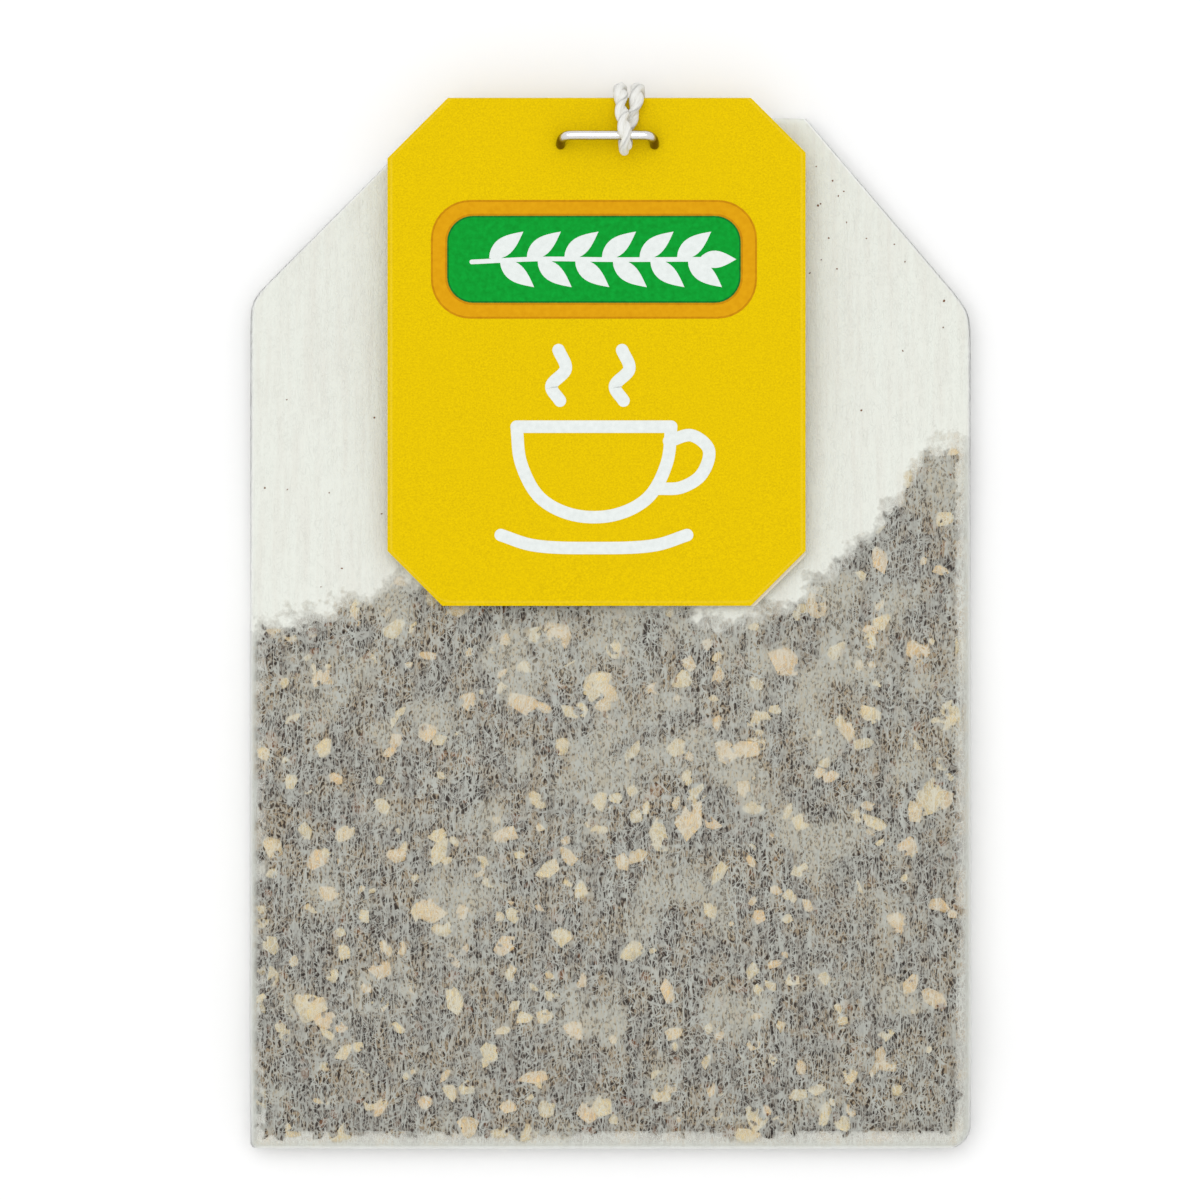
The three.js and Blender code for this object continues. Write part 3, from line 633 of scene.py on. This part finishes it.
tea = dict(
    clearance=0.07, reach=(-24.65, 24.05), bottom=0.95, tail=0.35, depthPower=1.3, depth=0.75, leastRoom=0.05,
    sides=24.75, foot=0.45, sideGap=0.3, ownGap=dict(grain=0.01, chip=0.008), sunk=0.6,
    lineX=(-25, -20, -14.6, -6, 4, 8, 13.2, 17.3, 20.1, 22, 24.2),
    lineY=(35.3, 36.4, 38.9, 38.2, 37.0, 35.7, 37.6, 41.4, 44.6, 48.2, 48.4),
    grains={1: 5600, -1: 4200}, grainHalf=(0.36, 0.22, 0.16), grainSpread=(0, 0.33), grainUneven=(0.75, 1.25),
    chips={1: 560, -1: 420}, chipHalf=(0.72, 0.52, 0.26), chipSpread=(-0.12, 0.38), chipUneven=(0.75, 1.3),
    grainTilt=0.5, chipTilt=0.12, roughness=(0.62, 1.25), noticedShape=(1.0, 0.75, 0.3), noticedUneven=(0.85, 1.1),
    noticed=[(-24.0, 27.5, 0.7), (-19.8, 28.0, 0.8), (-18.4, 22.0, 0.8), (-19.5, 17.8, 0.9), (-17.0, 16.2, 0.7),
             (-18.4, 13.7, 0.8), (-12.5, 16.6, 1.2), (-12.0, 21.8, 0.8), (-7.3, 21.8, 1.0), (-4.3, 19.5, 1.0),
             (-2.1, 18.1, 0.8), (-0.7, 24.2, 0.9), (-3.5, 14.9, 1.0), (-5.9, 9.2, 0.7), (-5.2, 5.1, 1.1),
             (-7.1, 3.0, 0.7), (-19.8, 9.0, 0.8), (-24.2, 10.5, 0.5), (-18.4, 6.9, 0.8), (-11.1, 4.1, 0.8),
             (-2.5, 8.3, 0.9), (-10.8, 10.3, 1.1), (6.9, 16.6, 0.9), (9.3, 27.8, 1.1), (13.2, 22.8, 0.9),
             (12.1, 33.9, 1.3), (21.1, 23.4, 1.0), (18.0, 30.1, 0.9), (23.6, 29.8, 0.6), (20.4, 46.6, 1.1),
             (18.7, 40.9, 0.9), (23.1, 43.7, 0.8), (22.9, 40.2, 0.7), (-3.5, 35.7, 1.2), (0.2, 34.6, 1.0),
             (-14.6, 39.4, 0.6), (-17.7, 37.6, 0.6)],
    dust=[(9, (-24, -15), (38, 64)), (22, (13.8, 20), (60, 69)), (6, (14.2, 24), (46, 62))],
    dustHalf=(0.045, 0.105), dustFlat=(1, 1, 0.4), dustTone=0.97, dustInset=0.6, dustLift=0.01,
)
# The mass under the grains. Each lump is a height, a size and a seed.
mass = dict(
    rows=70, columns=80, half=23.9, lift=0.3, under=0.5, rimPowers=(8, 12), gap=0.12, sunk=0.24, thinnest=0.02,
    lumps=((0.10, 0.9, 41), (0.06, 0.4, 42)), least=0.05, step=0.03, inside=0.08, tone=0.2,
)


def teaTop(x):
    return np.interp(x, tea["lineX"], tea["lineY"])


# Lumpy fragments: a twenty-faced ball with each corner pushed in or out, stretched, turned and set in place.
def fragments(centre, half, rng, tilt):
    ball = bmesh.new()
    bmesh.ops.create_icosphere(ball, subdivisions=1, radius=1)
    corners = np.array([v.co for v in ball.verts])
    faces = np.array([[v.index for v in face.verts] for face in ball.faces])
    ball.free()
    count = len(centre)
    shape = corners * rng.uniform(*tea["roughness"], (count, len(corners), 1)) * half[:, None]
    spin, lean = rng.uniform(0, 2 * np.pi, count), rng.normal(0, tilt, count)
    c, s, cl, sl, zero = np.cos(spin), np.sin(spin), np.cos(lean), np.sin(lean), np.zeros(count)
    turn = together(c, s, zero, -s * cl, c * cl, sl, s * sl, -c * sl, cl).reshape(-1, 3, 3)
    points = np.einsum("nij,njk->nik", shape, turn) + centre[:, None]
    return points.reshape(-1, 3), (faces + np.arange(count)[:, None, None] * len(corners)).reshape(-1, 3)


# Keeps points between a chamber's two papers, the given clearance from each.
def insideChamber(points, side, clearance):
    x, y, z = points.T
    x = np.clip(x, -tea["sides"], tea["sides"])
    y = np.maximum(y, tea["foot"])
    edge = edgeAt(x, y)
    x = np.clip(x, -edge + tea["sideGap"], edge - tea["sideGap"])
    across, up = sectionLoop()
    turn, gap = bag["columns"], bag["paper"] + clearance
    outerUp = np.interp(x / edge, across[turn::-1], up[turn::-1])
    innerUp = -np.interp(x / edge, np.append(across[turn:], 1), np.append(up[turn:], 0))
    outer = chamberHeight(y, side) + side * (chamberHalf(y) + wrinkles(x, y, side)) * outerUp
    outerSide = np.maximum(bag["floorGap"], outer) - side * gap
    innerSide = chamberHeight(y, side) - side * (chamberHalf(y) * innerUp - gap)
    innerSide = side * np.minimum(side * innerSide, side * outerSide)
    low, high = np.minimum(innerSide, outerSide), np.maximum(innerSide, outerSide)
    return together(x, y, np.clip(z, low, high))


# Where grains lie: even over the chamber up to the tea's line, thinning out above it by an exponential tail.
def scatter(count, side, rng, half):
    x = side * rng.uniform(*tea["reach"], count)
    y = rng.uniform(tea["bottom"], teaTop(x) + rng.exponential(tea["tail"], count))
    room = np.maximum(tea["leastRoom"], chamberHalf(y) - bag["paper"] - tea["clearance"])
    depth = rng.uniform(0, 1, count) ** tea["depthPower"] * np.minimum(tea["depth"], 2 * room)
    z = paperHeight(x, y, side) - side * (bag["paper"] + tea["clearance"] + half[:, 2] * tea["sunk"] + depth)
    return together(x, y, z)


# The mass under the top grains: a closed body, thinned to a rim, its rows and columns closer at its edges.
def teaBody(side):
    rows, columns = mass["rows"], mass["columns"]
    s, t = np.meshgrid(-np.cos(np.linspace(0, np.pi, columns)), -np.cos(np.linspace(0, np.pi, rows)))
    x = s * mass["half"]
    y = tea["bottom"] + mass["lift"] + (teaTop(x) - mass["under"] - tea["bottom"]) * (t + 1) / 2
    sidePower, endPower = mass["rimPowers"]
    rim = np.clip(1 - np.abs(s) ** sidePower, 0, 1) * np.clip(1 - np.abs(t) ** endPower, 0, 1)
    arch = (1 - np.abs(x / bag["halfWidth"]) ** bag["fullness"]) ** (1 / bag["fullness"])
    room = np.maximum(tea["leastRoom"], chamberHalf(y) - bag["paper"] - mass["gap"]) * arch
    lump = sum(high * smoothField(x / wide, y / wide, seed) for high, wide, seed in mass["lumps"])
    surface = np.maximum(mass["thinnest"], (room - mass["sunk"] + lump) * rim)
    outerZ = chamberHeight(y, side) + side * surface
    innerZ = chamberHeight(y, side) - side * np.maximum(mass["thinnest"], room * rim)
    upper, lower = (outerZ, innerZ) if side > 0 else (innerZ, outerZ)
    low = bag["paper"] + mass["least"]
    points = np.concatenate([np.dstack([x, y, np.maximum(upper, low + mass["step"])]).reshape(-1, 3),
                             np.dstack([x, y, np.maximum(lower, low)]).reshape(-1, 3)])
    return insideChamber(points, side, mass["inside"]), sheetQuads(rows, columns)


# Half lengths of fragments: one factor for each whole, spread as a bell curve's power of e, and one a side.
def sizes(kind, count, rng):
    return (np.array(tea[kind + "Half"]) * rng.lognormal(*tea[kind + "Spread"], (count, 1))
            * rng.uniform(*tea[kind + "Uneven"], (count, 3)))


# Only the front has dust on the outside of its paper, and chips in places of their own.
def makeTea(name, node, side, leafLook, gingerLook):
    rng = np.random.default_rng(70 + side)
    bodyPoints, bodyQuads = teaBody(side)
    half = sizes("grain", tea["grains"][side], rng)
    places = scatter(len(half), side, rng, half)
    dust = specks(rng) if side > 0 else np.empty((0, 3))
    places = np.vstack([places, dust])
    half = np.vstack([half, rng.uniform(*tea["dustHalf"], (len(dust), 3)) * tea["dustFlat"]])
    grains, grainFaces = fragments(places, half, rng, tea["grainTilt"])
    chipHalf = sizes("chip", tea["chips"][side], rng)
    chipPlaces = scatter(len(chipHalf), side, rng, chipHalf)
    noticed = np.array(tea["noticed"] if side > 0 else np.empty((0, 3)))
    ownHalf = noticed[:, 2:] * tea["noticedShape"] * rng.uniform(*tea["noticedUneven"], (len(noticed), 3))
    height = (paperHeight(noticed[:, 0], noticed[:, 1], side) - bag["paper"] - tea["clearance"]
              - ownHalf[:, 2] * tea["sunk"])
    chipPlaces = np.vstack([chipPlaces, np.column_stack([noticed[:, :2], height])])
    chips, chipFaces = fragments(chipPlaces, np.vstack([chipHalf, ownHalf]), rng, tea["chipTilt"])
    corners = len(grains) // len(places)
    inner = len(grains) - len(dust) * corners
    grains[:inner] = insideChamber(grains[:inner], side, tea["ownGap"]["grain"])
    chips = insideChamber(chips, side, tea["ownGap"]["chip"])
    points, sets = joinParts([(bodyPoints, bodyQuads), (grains, [grainFaces]), (chips, [chipFaces])])
    slots = [0] * (len(sets) - 1) + [1]
    piece = makePiece(name, toModel(points), sets, [leafLook, gingerLook], slots, smooth=False)
    leafTone = rng.uniform(0, 1, len(places))
    leafTone[len(places) - len(dust):] = tea["dustTone"]
    tones = np.append(leafTone, rng.uniform(0, 1, len(chipPlaces)))
    setAttribute(piece, "grainTone", np.append(np.full(len(bodyPoints), mass["tone"]), np.repeat(tones, corners)))
    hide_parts(node)
    print(name + ":", len(places), "leaf grains,", len(chipPlaces), "ginger chips")


# Dust that clings to the empty paper: thin over the left side, thick near the right shoulder.
def specks(rng):
    spots = np.vstack([np.column_stack([rng.uniform(*across, count), rng.uniform(*along, count)])
                       for count, across, along in tea["dust"]])
    edge = edgeDistance(spots[:, 1], bag["creaseRight"], bag["cornerRight"]) - tea["dustInset"]
    spots = spots[np.abs(spots[:, 0]) < edge]
    return np.column_stack([spots, paperHeight(spots[:, 0], spots[:, 1], 1) + tea["dustLift"]])


def leafMaterial():
    place = newMaterial("teaLeaf")
    tone, grainy = attribute("grainTone"), noise(place, 7.0, 3.0, 0.6)
    dark = mixColour(ramp(tone, 0.0, 0.75), (0.012, 0.009, 0.009), (0.045, 0.026, 0.020))
    warm = mixColour(ramp(tone, 0.86, 0.95), dark, (0.22, 0.095, 0.04))
    base = mixColour(times(grainy, 0.35), warm, (0.08, 0.055, 0.045))
    return shaded({"Base Color": base, "Roughness": 0.7, "Specular IOR Level": 0.3,
                   "Normal": bump(grainy, 0.05)})


def gingerMaterial():
    place = newMaterial("gingerChip")
    fibrous = streaks(place, (3.5, 1.2, 2), 4.0, 0.6)
    orange = ramp(attribute("grainTone"), 0.35, 0.95, soft=True)
    base = mixColour(orange, (0.80, 0.665, 0.375), (0.80, 0.555, 0.27))
    base = mixColour(ramp(fibrous, 0.35, 0.7, 0.0, 0.6), base, (0.82, 0.715, 0.465))
    return shaded({"Base Color": base, "Roughness": 0.75, "Normal": bump(fibrous, 0.06)})


def turned(points, angle):  # turned anticlockwise by an angle in degrees
    c, s = np.cos(np.radians(angle)), np.sin(np.radians(angle))
    return points @ np.array([[c, s], [-s, c]])


# Outline helpers for the print, all in millimetres.
def roundedBox(centre, size, radius, steps=10):
    angle = np.radians(np.linspace(0, 90, steps))
    corner = radius * together(np.cos(angle), np.sin(angle))
    reach = np.array(size) / 2 - radius
    signs = [(1, 1), (-1, 1), (-1, -1), (1, -1)]
    return np.vstack([turned(corner, 90 * k) + reach * sign for k, sign in enumerate(signs)]) + centre


# A leaf: its half width is a sine along its length, to the power 0.8, narrower at the tip.
def leafOutline(base, turn, length, width, steps=12):
    t = np.linspace(0, 1, steps)
    half = width / 2 * np.sin(np.pi * t**0.8)
    shape = np.vstack([together(t * length, -half), together(t * length, half)[-2:0:-1]])
    return turned(shape, turn) + base


# A line of even width with round ends: near an end its half width is the root of r^2 - d^2, with d the distance
# from the round end's middle.
def strokeStrip(knots, width, perSpan=10, endSteps=8):
    line = smoothPath(np.column_stack([knots, np.zeros(len(knots))]), perSpan)[:, :2]
    along = np.gradient(line, axis=0)
    along /= np.linalg.norm(along, axis=1, keepdims=True)
    radius = width / 2
    ease = radius * (1 - np.cos(np.radians(np.linspace(8, 90, endSteps))))[:, None]
    line = np.vstack([line[0] + along[0] * (ease - radius), line[1:-1],
                      line[-1] + along[-1] * (radius - ease[::-1])])
    along = np.vstack([np.repeat(along[:1], endSteps, axis=0), along[1:-1],
                       np.repeat(along[-1:], endSteps, axis=0)])
    half = np.full((len(line), 1), radius)
    half[:endSteps] = np.sqrt(radius**2 - (radius - ease) ** 2)
    half[-endSteps:] = half[:endSteps][::-1]
    side = together(along[:, 1], -along[:, 0]) * half
    return np.stack([line + side, line - side], axis=1)


# Ink numbers: 2 orange, 3 green, 4 white, 5 amber, 6 deep green. A box of the panel is its size, corner radius,
# how far it reaches beyond that size, and its ink. A leaf is its place, turn, length, width and level.
tag = dict(
    width=28.94, length=35.17, centreX=-0.97, topY=72.87, underside=3.65, ply=0.22, gap=0.06,
    cutTopLeft=4.2, cutOthers=3.8, backShow=0.3, columns=48, rows=60, bendRows=14,
    curl=0.16, curlReach=9, curlOut=(9, 14.5), curlMiddle=0.25, curlBack=0.45, ink=0.01, stroke=0.86,
    panelMiddle=(-1.15, 61.68),
    panel=[((22.3, 7.95), 2.6, 0.13, 5), ((22.3, 7.95), 2.6, 0, 2), ((20.1, 5.8), 1.7, 0.25, 5),
           ((20.1, 5.8), 1.7, 0.11, 6), ((20.1, 5.8), 1.7, 0, 3)],
    stem=[(-9.6, 61.5), (-5, 61.7), (0, 61.66), (6.6, 61.68)], stemWidth=0.32, stemLevel=6, white=4,
    pairs=np.linspace(-8.4, 4.6, 6), pairLeaves=[(0, 61.75, 38, 6.2), (0.75, 61.6, -38, 6.4)],
    pairSize=(3.0, 1.25), endLeaf=((6.1, 61.68), 0, 2.6, 1.2), endLevel=6.6, cupStep=0.2,
    cup=[[(-6.5, 50.1), (-6.2, 47.6), (-4.9, 45.2), (-2.6, 44.0), (0.3, 44.0), (2.6, 45.2), (3.9, 47.6),
          (4.2, 50.1)],
         [(-6.5, 50.1), (-3, 50.1), (1, 50.1), (4.2, 50.1)],
         [(4.05, 49.1), (5.6, 49.5), (6.8, 48.5), (6.3, 46.8), (4.9, 45.9), (3.3, 45.8)],
         [(-7.6, 42.6), (-5.4, 41.9), (-1.15, 41.7), (3.1, 41.9), (5.3, 42.6)],
         [(-3.5, 51.9), (-4.1, 52.9), (-3.1, 54.1), (-3.6, 55.4)],
         [(0.9, 51.9), (0.3, 52.9), (1.3, 54.1), (0.8, 55.4)]],
)


# How far each side of a ply is cut back at a height: its corner cut less the distance from that corner.
def tagEdges(y, front):
    bottom = tag["topY"] - tag["length"]
    lowerRight = np.where(front, tag["cutOthers"], tag["cutOthers"] - tag["backShow"])
    left = np.maximum(np.maximum(0, tag["cutOthers"] - (y - bottom)), tag["cutTopLeft"] - (tag["topY"] - y))
    right = np.maximum(np.maximum(0, lowerRight - (y - bottom)), tag["cutOthers"] - (tag["topY"] - y))
    half = tag["width"] / 2
    return tag["centreX"] - half + left, tag["centreX"] + half - right


# The card's small curl: it rises by an S curve towards the lower edge, and most at the lower corners.
def tagCurl(x, y, front):
    bottom, middle = tag["topY"] - tag["length"], tag["curlMiddle"]
    low = 1 - smoothStep(y, bottom, bottom + tag["curlReach"])
    out = smoothStep(np.abs(x - tag["centreX"]), *tag["curlOut"])
    return tag["curl"] * low * (middle + (1 - middle) * out) * np.where(front, 1.0, tag["curlBack"])


def makeTag(coated, core, *inks):
    bottom, thick = tag["topY"] - tag["length"], 2 * tag["ply"] + tag["gap"]
    foldY, outer, inner = tag["topY"] - thick / 2, thick / 2, tag["gap"] / 2
    middle = tag["underside"] + outer
    cuts = [bottom + tag["cutOthers"] - tag["backShow"], bottom + tag["cutOthers"],
            tag["topY"] - tag["cutTopLeft"], tag["topY"] - tag["cutOthers"]]
    flat = np.unique(np.concatenate([np.linspace(bottom, foldY, tag["rows"]), cuts]))
    bend = np.radians(np.linspace(90, -90, tag["bendRows"]))[1:-1]

    def wall(radius):
        y = np.concatenate([flat, foldY + radius * np.cos(bend), flat[::-1]])
        z = np.concatenate([np.full(len(flat), radius), radius * np.sin(bend), np.full(len(flat), -radius)])
        front = (z > 0)[:, None]
        y, z = y[:, None], z[:, None]
        left, right = tagEdges(y, front)
        across = np.linspace(0, 1, tag["columns"])
        x = right + (left - right) * across
        edge = np.minimum(np.minimum(x - left, right - x), y - bottom)
        return together(x, y + 0 * x, middle + z + tagCurl(x, y, front)), edge

    outerWall, edge = wall(outer)
    innerWall, _ = wall(inner)
    parts = [(np.vstack([outerWall.reshape(-1, 3), innerWall.reshape(-1, 3)]), sheetQuads(*edge.shape))]
    slots, top = [0, 1, 1], middle + outer

    def add(spots, level, slot, faceSets):
        rise = top + tagCurl(spots[:, 0], spots[:, 1], True)
        layers = [np.column_stack([spots, rise + lift * tag["ink"]]) for lift in (level, -1)]
        parts.append((np.vstack(layers), faceSets))
        slots.extend([slot] * len(faceSets))

    def plate(outline, level, slot):
        index = np.arange(len(outline))
        after, count = np.roll(index, -1), len(outline)
        walls = together(index, index + count, after + count, after)
        add(outline, level, slot, [index[None], index[None, ::-1] + count, walls])

    def stroke(knots, width, level, slot):
        strip = strokeStrip(knots, width)
        add(strip.reshape(-1, 2), level, slot, sheetQuads(len(strip), 2))

    for level, (size, radius, beyond, slot) in enumerate(tag["panel"], 1):
        plate(roundedBox(tag["panelMiddle"], np.array(size) + 2 * beyond, radius + beyond), level, slot)
    white = tag["white"]
    stroke(tag["stem"], tag["stemWidth"], tag["stemLevel"], white)
    for x in tag["pairs"]:
        for aside, y, turn, level in tag["pairLeaves"]:
            plate(leafOutline((x + aside, y), turn, *tag["pairSize"]), level, white)
    plate(leafOutline(*tag["endLeaf"]), tag["endLevel"], white)
    for number, line in enumerate(tag["cup"]):
        stroke(line, tag["stroke"], 1 + tag["cupStep"] * number, white)
    points, sets = joinParts(parts)
    piece = makePiece("tag", toModel(points), sets, [coated, core, *inks], slots, smooth=False)
    setAttribute(piece, "fromEdge", np.append(edge.ravel(), np.full(len(points) - edge.size, 9.0)))
    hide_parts("tag_card")
    print("tag:", len(piece.data.polygons), "faces")


def cardMaterial():
    place = newMaterial("coatedCard")
    mottle, broad = noise(place, 8.0, 2.0, 0.7), noise(place, 0.25, 2.0)
    edge = attribute("fromEdge")
    line = times(ramp(edge, 0.14, 0.26, soft=True), ramp(edge, 0.26, 0.40, 1.0, 0.0, soft=True))
    base = mixColour(ramp(mottle, 0.3, 0.7), (0.655, 0.45, 0.0), (0.845, 0.595, 0.0))
    base = mixColour(ramp(broad, 0.35, 0.65, 0.0, 0.25), base, (0.76, 0.53, 0.0))
    base = mixColour(times(line, 0.30), base, (0.86, 0.64, 0.06))
    return shaded({"Base Color": base, "Roughness": ramp(mottle, 0.3, 0.7, 0.42, 0.55),
                   "Specular IOR Level": 0.03, "Normal": bump(mottle, 0.03)})


def cardCoreMaterial():
    place = newMaterial("cardCore")
    fibre = streaks(place, (4, 4, 30), 3.0)
    base = mixColour(fibre, (0.74, 0.66, 0.48), (0.86, 0.80, 0.66))
    return shaded({"Base Color": base, "Roughness": 0.9, "Normal": bump(fibre, 0.02)})


def inkMaterial(name, low, high):
    place = newMaterial(name)
    mottle = noise(place, 2.6, 3.0, 0.6)
    base = mixColour(ramp(mottle, 0.3, 0.7), low, high)
    return shaded({"Base Color": base, "Roughness": 0.5, "Specular IOR Level": 0.04,
                   "Normal": bump(mottle, 0.006)})


staples = dict(
    radius=0.325, half=3.25, bend=0.75, reach=0.9, layerGap=0.05, stringGap=0.06, sides=18, shoulder=0.1,
    step=0.09, point=0.12, up=(0.02, 1.0, 0.03),
    tagged=(-0.21, 70.2, 0.6, 4.15, 3.65), bagged=(0, 63.5, 0.0, 1.79, 0.75),
)


# Straight runs joined by quadratic curves: tip, leg, shoulder and crown, then the same mirrored.
def stapleRoute(x, y, lean, front, back):
    crown = front + 2 * staples["stringGap"] + string["diameter"] + staples["radius"]
    clinch = back - staples["layerGap"] - staples["radius"]
    legY, half, bend = y - lean, staples["half"], staples["bend"]
    t = np.linspace(0, 1, 12)[:, None]

    def curve(a, b, c):
        a, b, c = map(np.array, (a, b, c))
        return a * (1 - t) ** 2 + 2 * b * t * (1 - t) + c * t**2

    right = np.vstack([
        np.array([[staples["reach"], legY, clinch]]),
        curve((half - bend, legY, clinch), (half, legY, clinch), (half, legY, clinch + bend)),
        curve((half, legY, front + staples["shoulder"]), (half, y, crown), (half - bend, y, crown)),
    ])
    whole = np.vstack([right, right[::-1] * (-1, 1, 1)]) + (x, 0, 0)
    return evenPath(toModel(whole), staples["step"] * mm)[0]


# Round wire: circles square to the path, closed at both ends with a cut point pulled out a little.
def makeStaple(name, node, where, material):
    path, radius = stapleRoute(*where), staples["radius"] * mm
    tangent, first, second = pathFrames(path, np.array(staples["up"]))
    sides = staples["sides"]
    ring = rings(path, first, second, radius, np.linspace(0, 2 * np.pi, sides, endpoint=False))
    tips = path[[0, -1]] + tangent[[0, -1]] * np.array([[-staples["point"]], [staples["point"]]]) * mm
    piece = makePiece(name, np.vstack([ring.reshape(-1, 3), tips]), tubeFaces(len(path), sides), [material])
    # belowCrown and facingDown steer the wire's painted shade: down the legs, and round the sides and underside.
    drop = np.repeat((path[:, 2].max() - path[:, 2]) / mm, sides)
    away = -((ring - path[:, None]) @ np.array([0, 0, 1]) / radius).ravel()
    setAttribute(piece, "belowCrown", np.append(drop, drop[[0, -1]]))
    setAttribute(piece, "facingDown", np.append(away, [0, 0]))
    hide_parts(node)
    print(name + ":", len(path), "rings")


# Bright drawn wire, with painted shade: dark brown down the legs, partly grime, and darker round the sides and
# underside than along the top.
def wireMaterial():
    place = newMaterial("stapleWire")
    drawn = streaks(place, (1.5, 14, 14), 3.0, 0.6)
    # Painted shade: the sides and underside are darkened and the top stays bright.
    sideShade = ramp(attribute("facingDown"), -0.85, -0.15, soft=True)
    # Painted shade with some grime: the legs turn dark brown below the crown.
    shadedLegs = ramp(attribute("belowCrown"), 0.12, 0.55, soft=True)
    bright = mixColour(drawn, (0.74, 0.72, 0.71), (0.93, 0.92, 0.91))
    sideShaded = mixColour(sideShade, bright, (0.20, 0.17, 0.15))
    legShadeAndGrime = mixColour(drawn, (0.055, 0.035, 0.02), (0.20, 0.14, 0.08))
    return shaded({"Base Color": mixColour(shadedLegs, sideShaded, legShadeAndGrime), "Metallic": 1.0,
                   "Roughness": ramp(drawn, 0.3, 0.7, 0.14, 0.28),
                   "Normal": bump(drawn, 0.01)})


# Fine lay of the yarn: bands that run slantwise round each ply, from its own coordinates.
def stringMaterial():
    place = newMaterial("cottonYarn")
    along = attribute("alongRun")
    slant = plus(times(along, 4.0), times(attribute("roundPly"), 3.0))
    lay = addNode("ShaderNodeCombineXYZ", {"X": slant, "Y": times(along, 0.6)}).outputs[0]
    strands, fuzz = noise(lay, 1.3, 3.0, 0.6), noise(place, 9.0, 2.0)
    tone = mixColour(ramp(strands, 0.3, 0.65), (0.72, 0.71, 0.65), (0.92, 0.92, 0.88))
    tone = mixColour(times(fuzz, 0.3), tone, (0.93, 0.92, 0.89))
    return shaded({"Base Color": tone, "Roughness": 0.9, "Sheen Weight": 0.2,
                   "Normal": bump(strands, 0.08)})


makeString(stringMaterial())
makeBag(skinMaterial(), liningMaterial())
leaf, ginger = leafMaterial(), gingerMaterial()
makeTea("tea_front", "tea_fill_front", 1, leaf, ginger)
makeTea("tea_back", "tea_fill_back", -1, leaf, ginger)
makeTag(cardMaterial(), cardCoreMaterial(),
        inkMaterial("orangeInk", (0.66, 0.31, 0.002), (0.73, 0.36, 0.004)),
        inkMaterial("greenInk", (0.002, 0.27, 0.022), (0.003, 0.36, 0.035)),
        inkMaterial("whiteInk", (0.72, 0.76, 0.74), (0.80, 0.84, 0.82)),
        inkMaterial("amberInk", (0.50, 0.21, 0.002), (0.60, 0.27, 0.003)),
        inkMaterial("deepGreenInk", (0.004, 0.13, 0.02), (0.006, 0.20, 0.03)))
wire = wireMaterial()
makeStaple("staple_of_tag", "tag_staple", staples["tagged"], wire)
makeStaple("staple_of_bag", "bag_staple", staples["bagged"], wire)
studio = dict(floorSize=1600, sky=0.84, horizon=0.80, evenFrom=0.7, key=0.34, keyPlace=(-0.12, 0.22, 1.0),
              keySize=1.0)


def addFloor():
    size = studio["floorSize"] / 2
    corners = np.array([(-size, -size, 0), (size, -size, 0), (size, size, 0), (-size, size, 0)]) * mm
    mesh = bpy.data.meshes.new("table_top")
    mesh.from_pydata(corners.tolist(), [], [(0, 1, 2, 3)])
    floor = bpy.data.objects.new("table_top", mesh)
    bpy.context.scene.collection.objects.link(floor)
    place = newMaterial("paleTable")
    base = mixColour(noise(place, 0.05, 2.0), (0.96, 0.96, 0.96), (0.97, 0.97, 0.97))
    mesh.materials.append(shaded({"Base Color": base, "Roughness": 0.9, "Specular IOR Level": 0.1}))


# Even sky, a little dimmer towards the horizon, and one large soft lamp nearly overhead. The lamp's power is pi
# squared times its strength times the square of its distance, over the cosine of its lean.
def addLight():
    world = bpy.data.worlds.new("studio")
    world.use_nodes = True
    work["tree"] = world.node_tree
    direction = addNode("ShaderNodeTexCoord").outputs["Generated"]
    height = addNode("ShaderNodeSeparateXYZ", {0: direction}).outputs["Z"]
    strength = ramp(height, 0.0, studio["evenFrom"], studio["horizon"], studio["sky"], soft=True)
    feed(world.node_tree.nodes["Background"], {"Strength": strength, "Color": (1, 1, 1)})
    bpy.context.scene.world = world
    lamp = bpy.data.lights.new("softbox", "AREA")
    lamp.size = studio["keySize"]
    place = np.array(studio["keyPlace"])
    distance = np.linalg.norm(place)
    lamp.energy = studio["key"] * np.pi * np.pi * distance**2 / (place[2] / distance)
    box = bpy.data.objects.new("softbox", lamp)
    box.location = place
    box.rotation_mode = "QUATERNION"
    box.rotation_quaternion = mathutils.Vector(-place).to_track_quat("-Z", "Y")
    bpy.context.scene.collection.objects.link(box)


addFloor()
addLight()
bpy.context.scene.view_settings.view_transform = "Standard"
print("floor and lights placed")
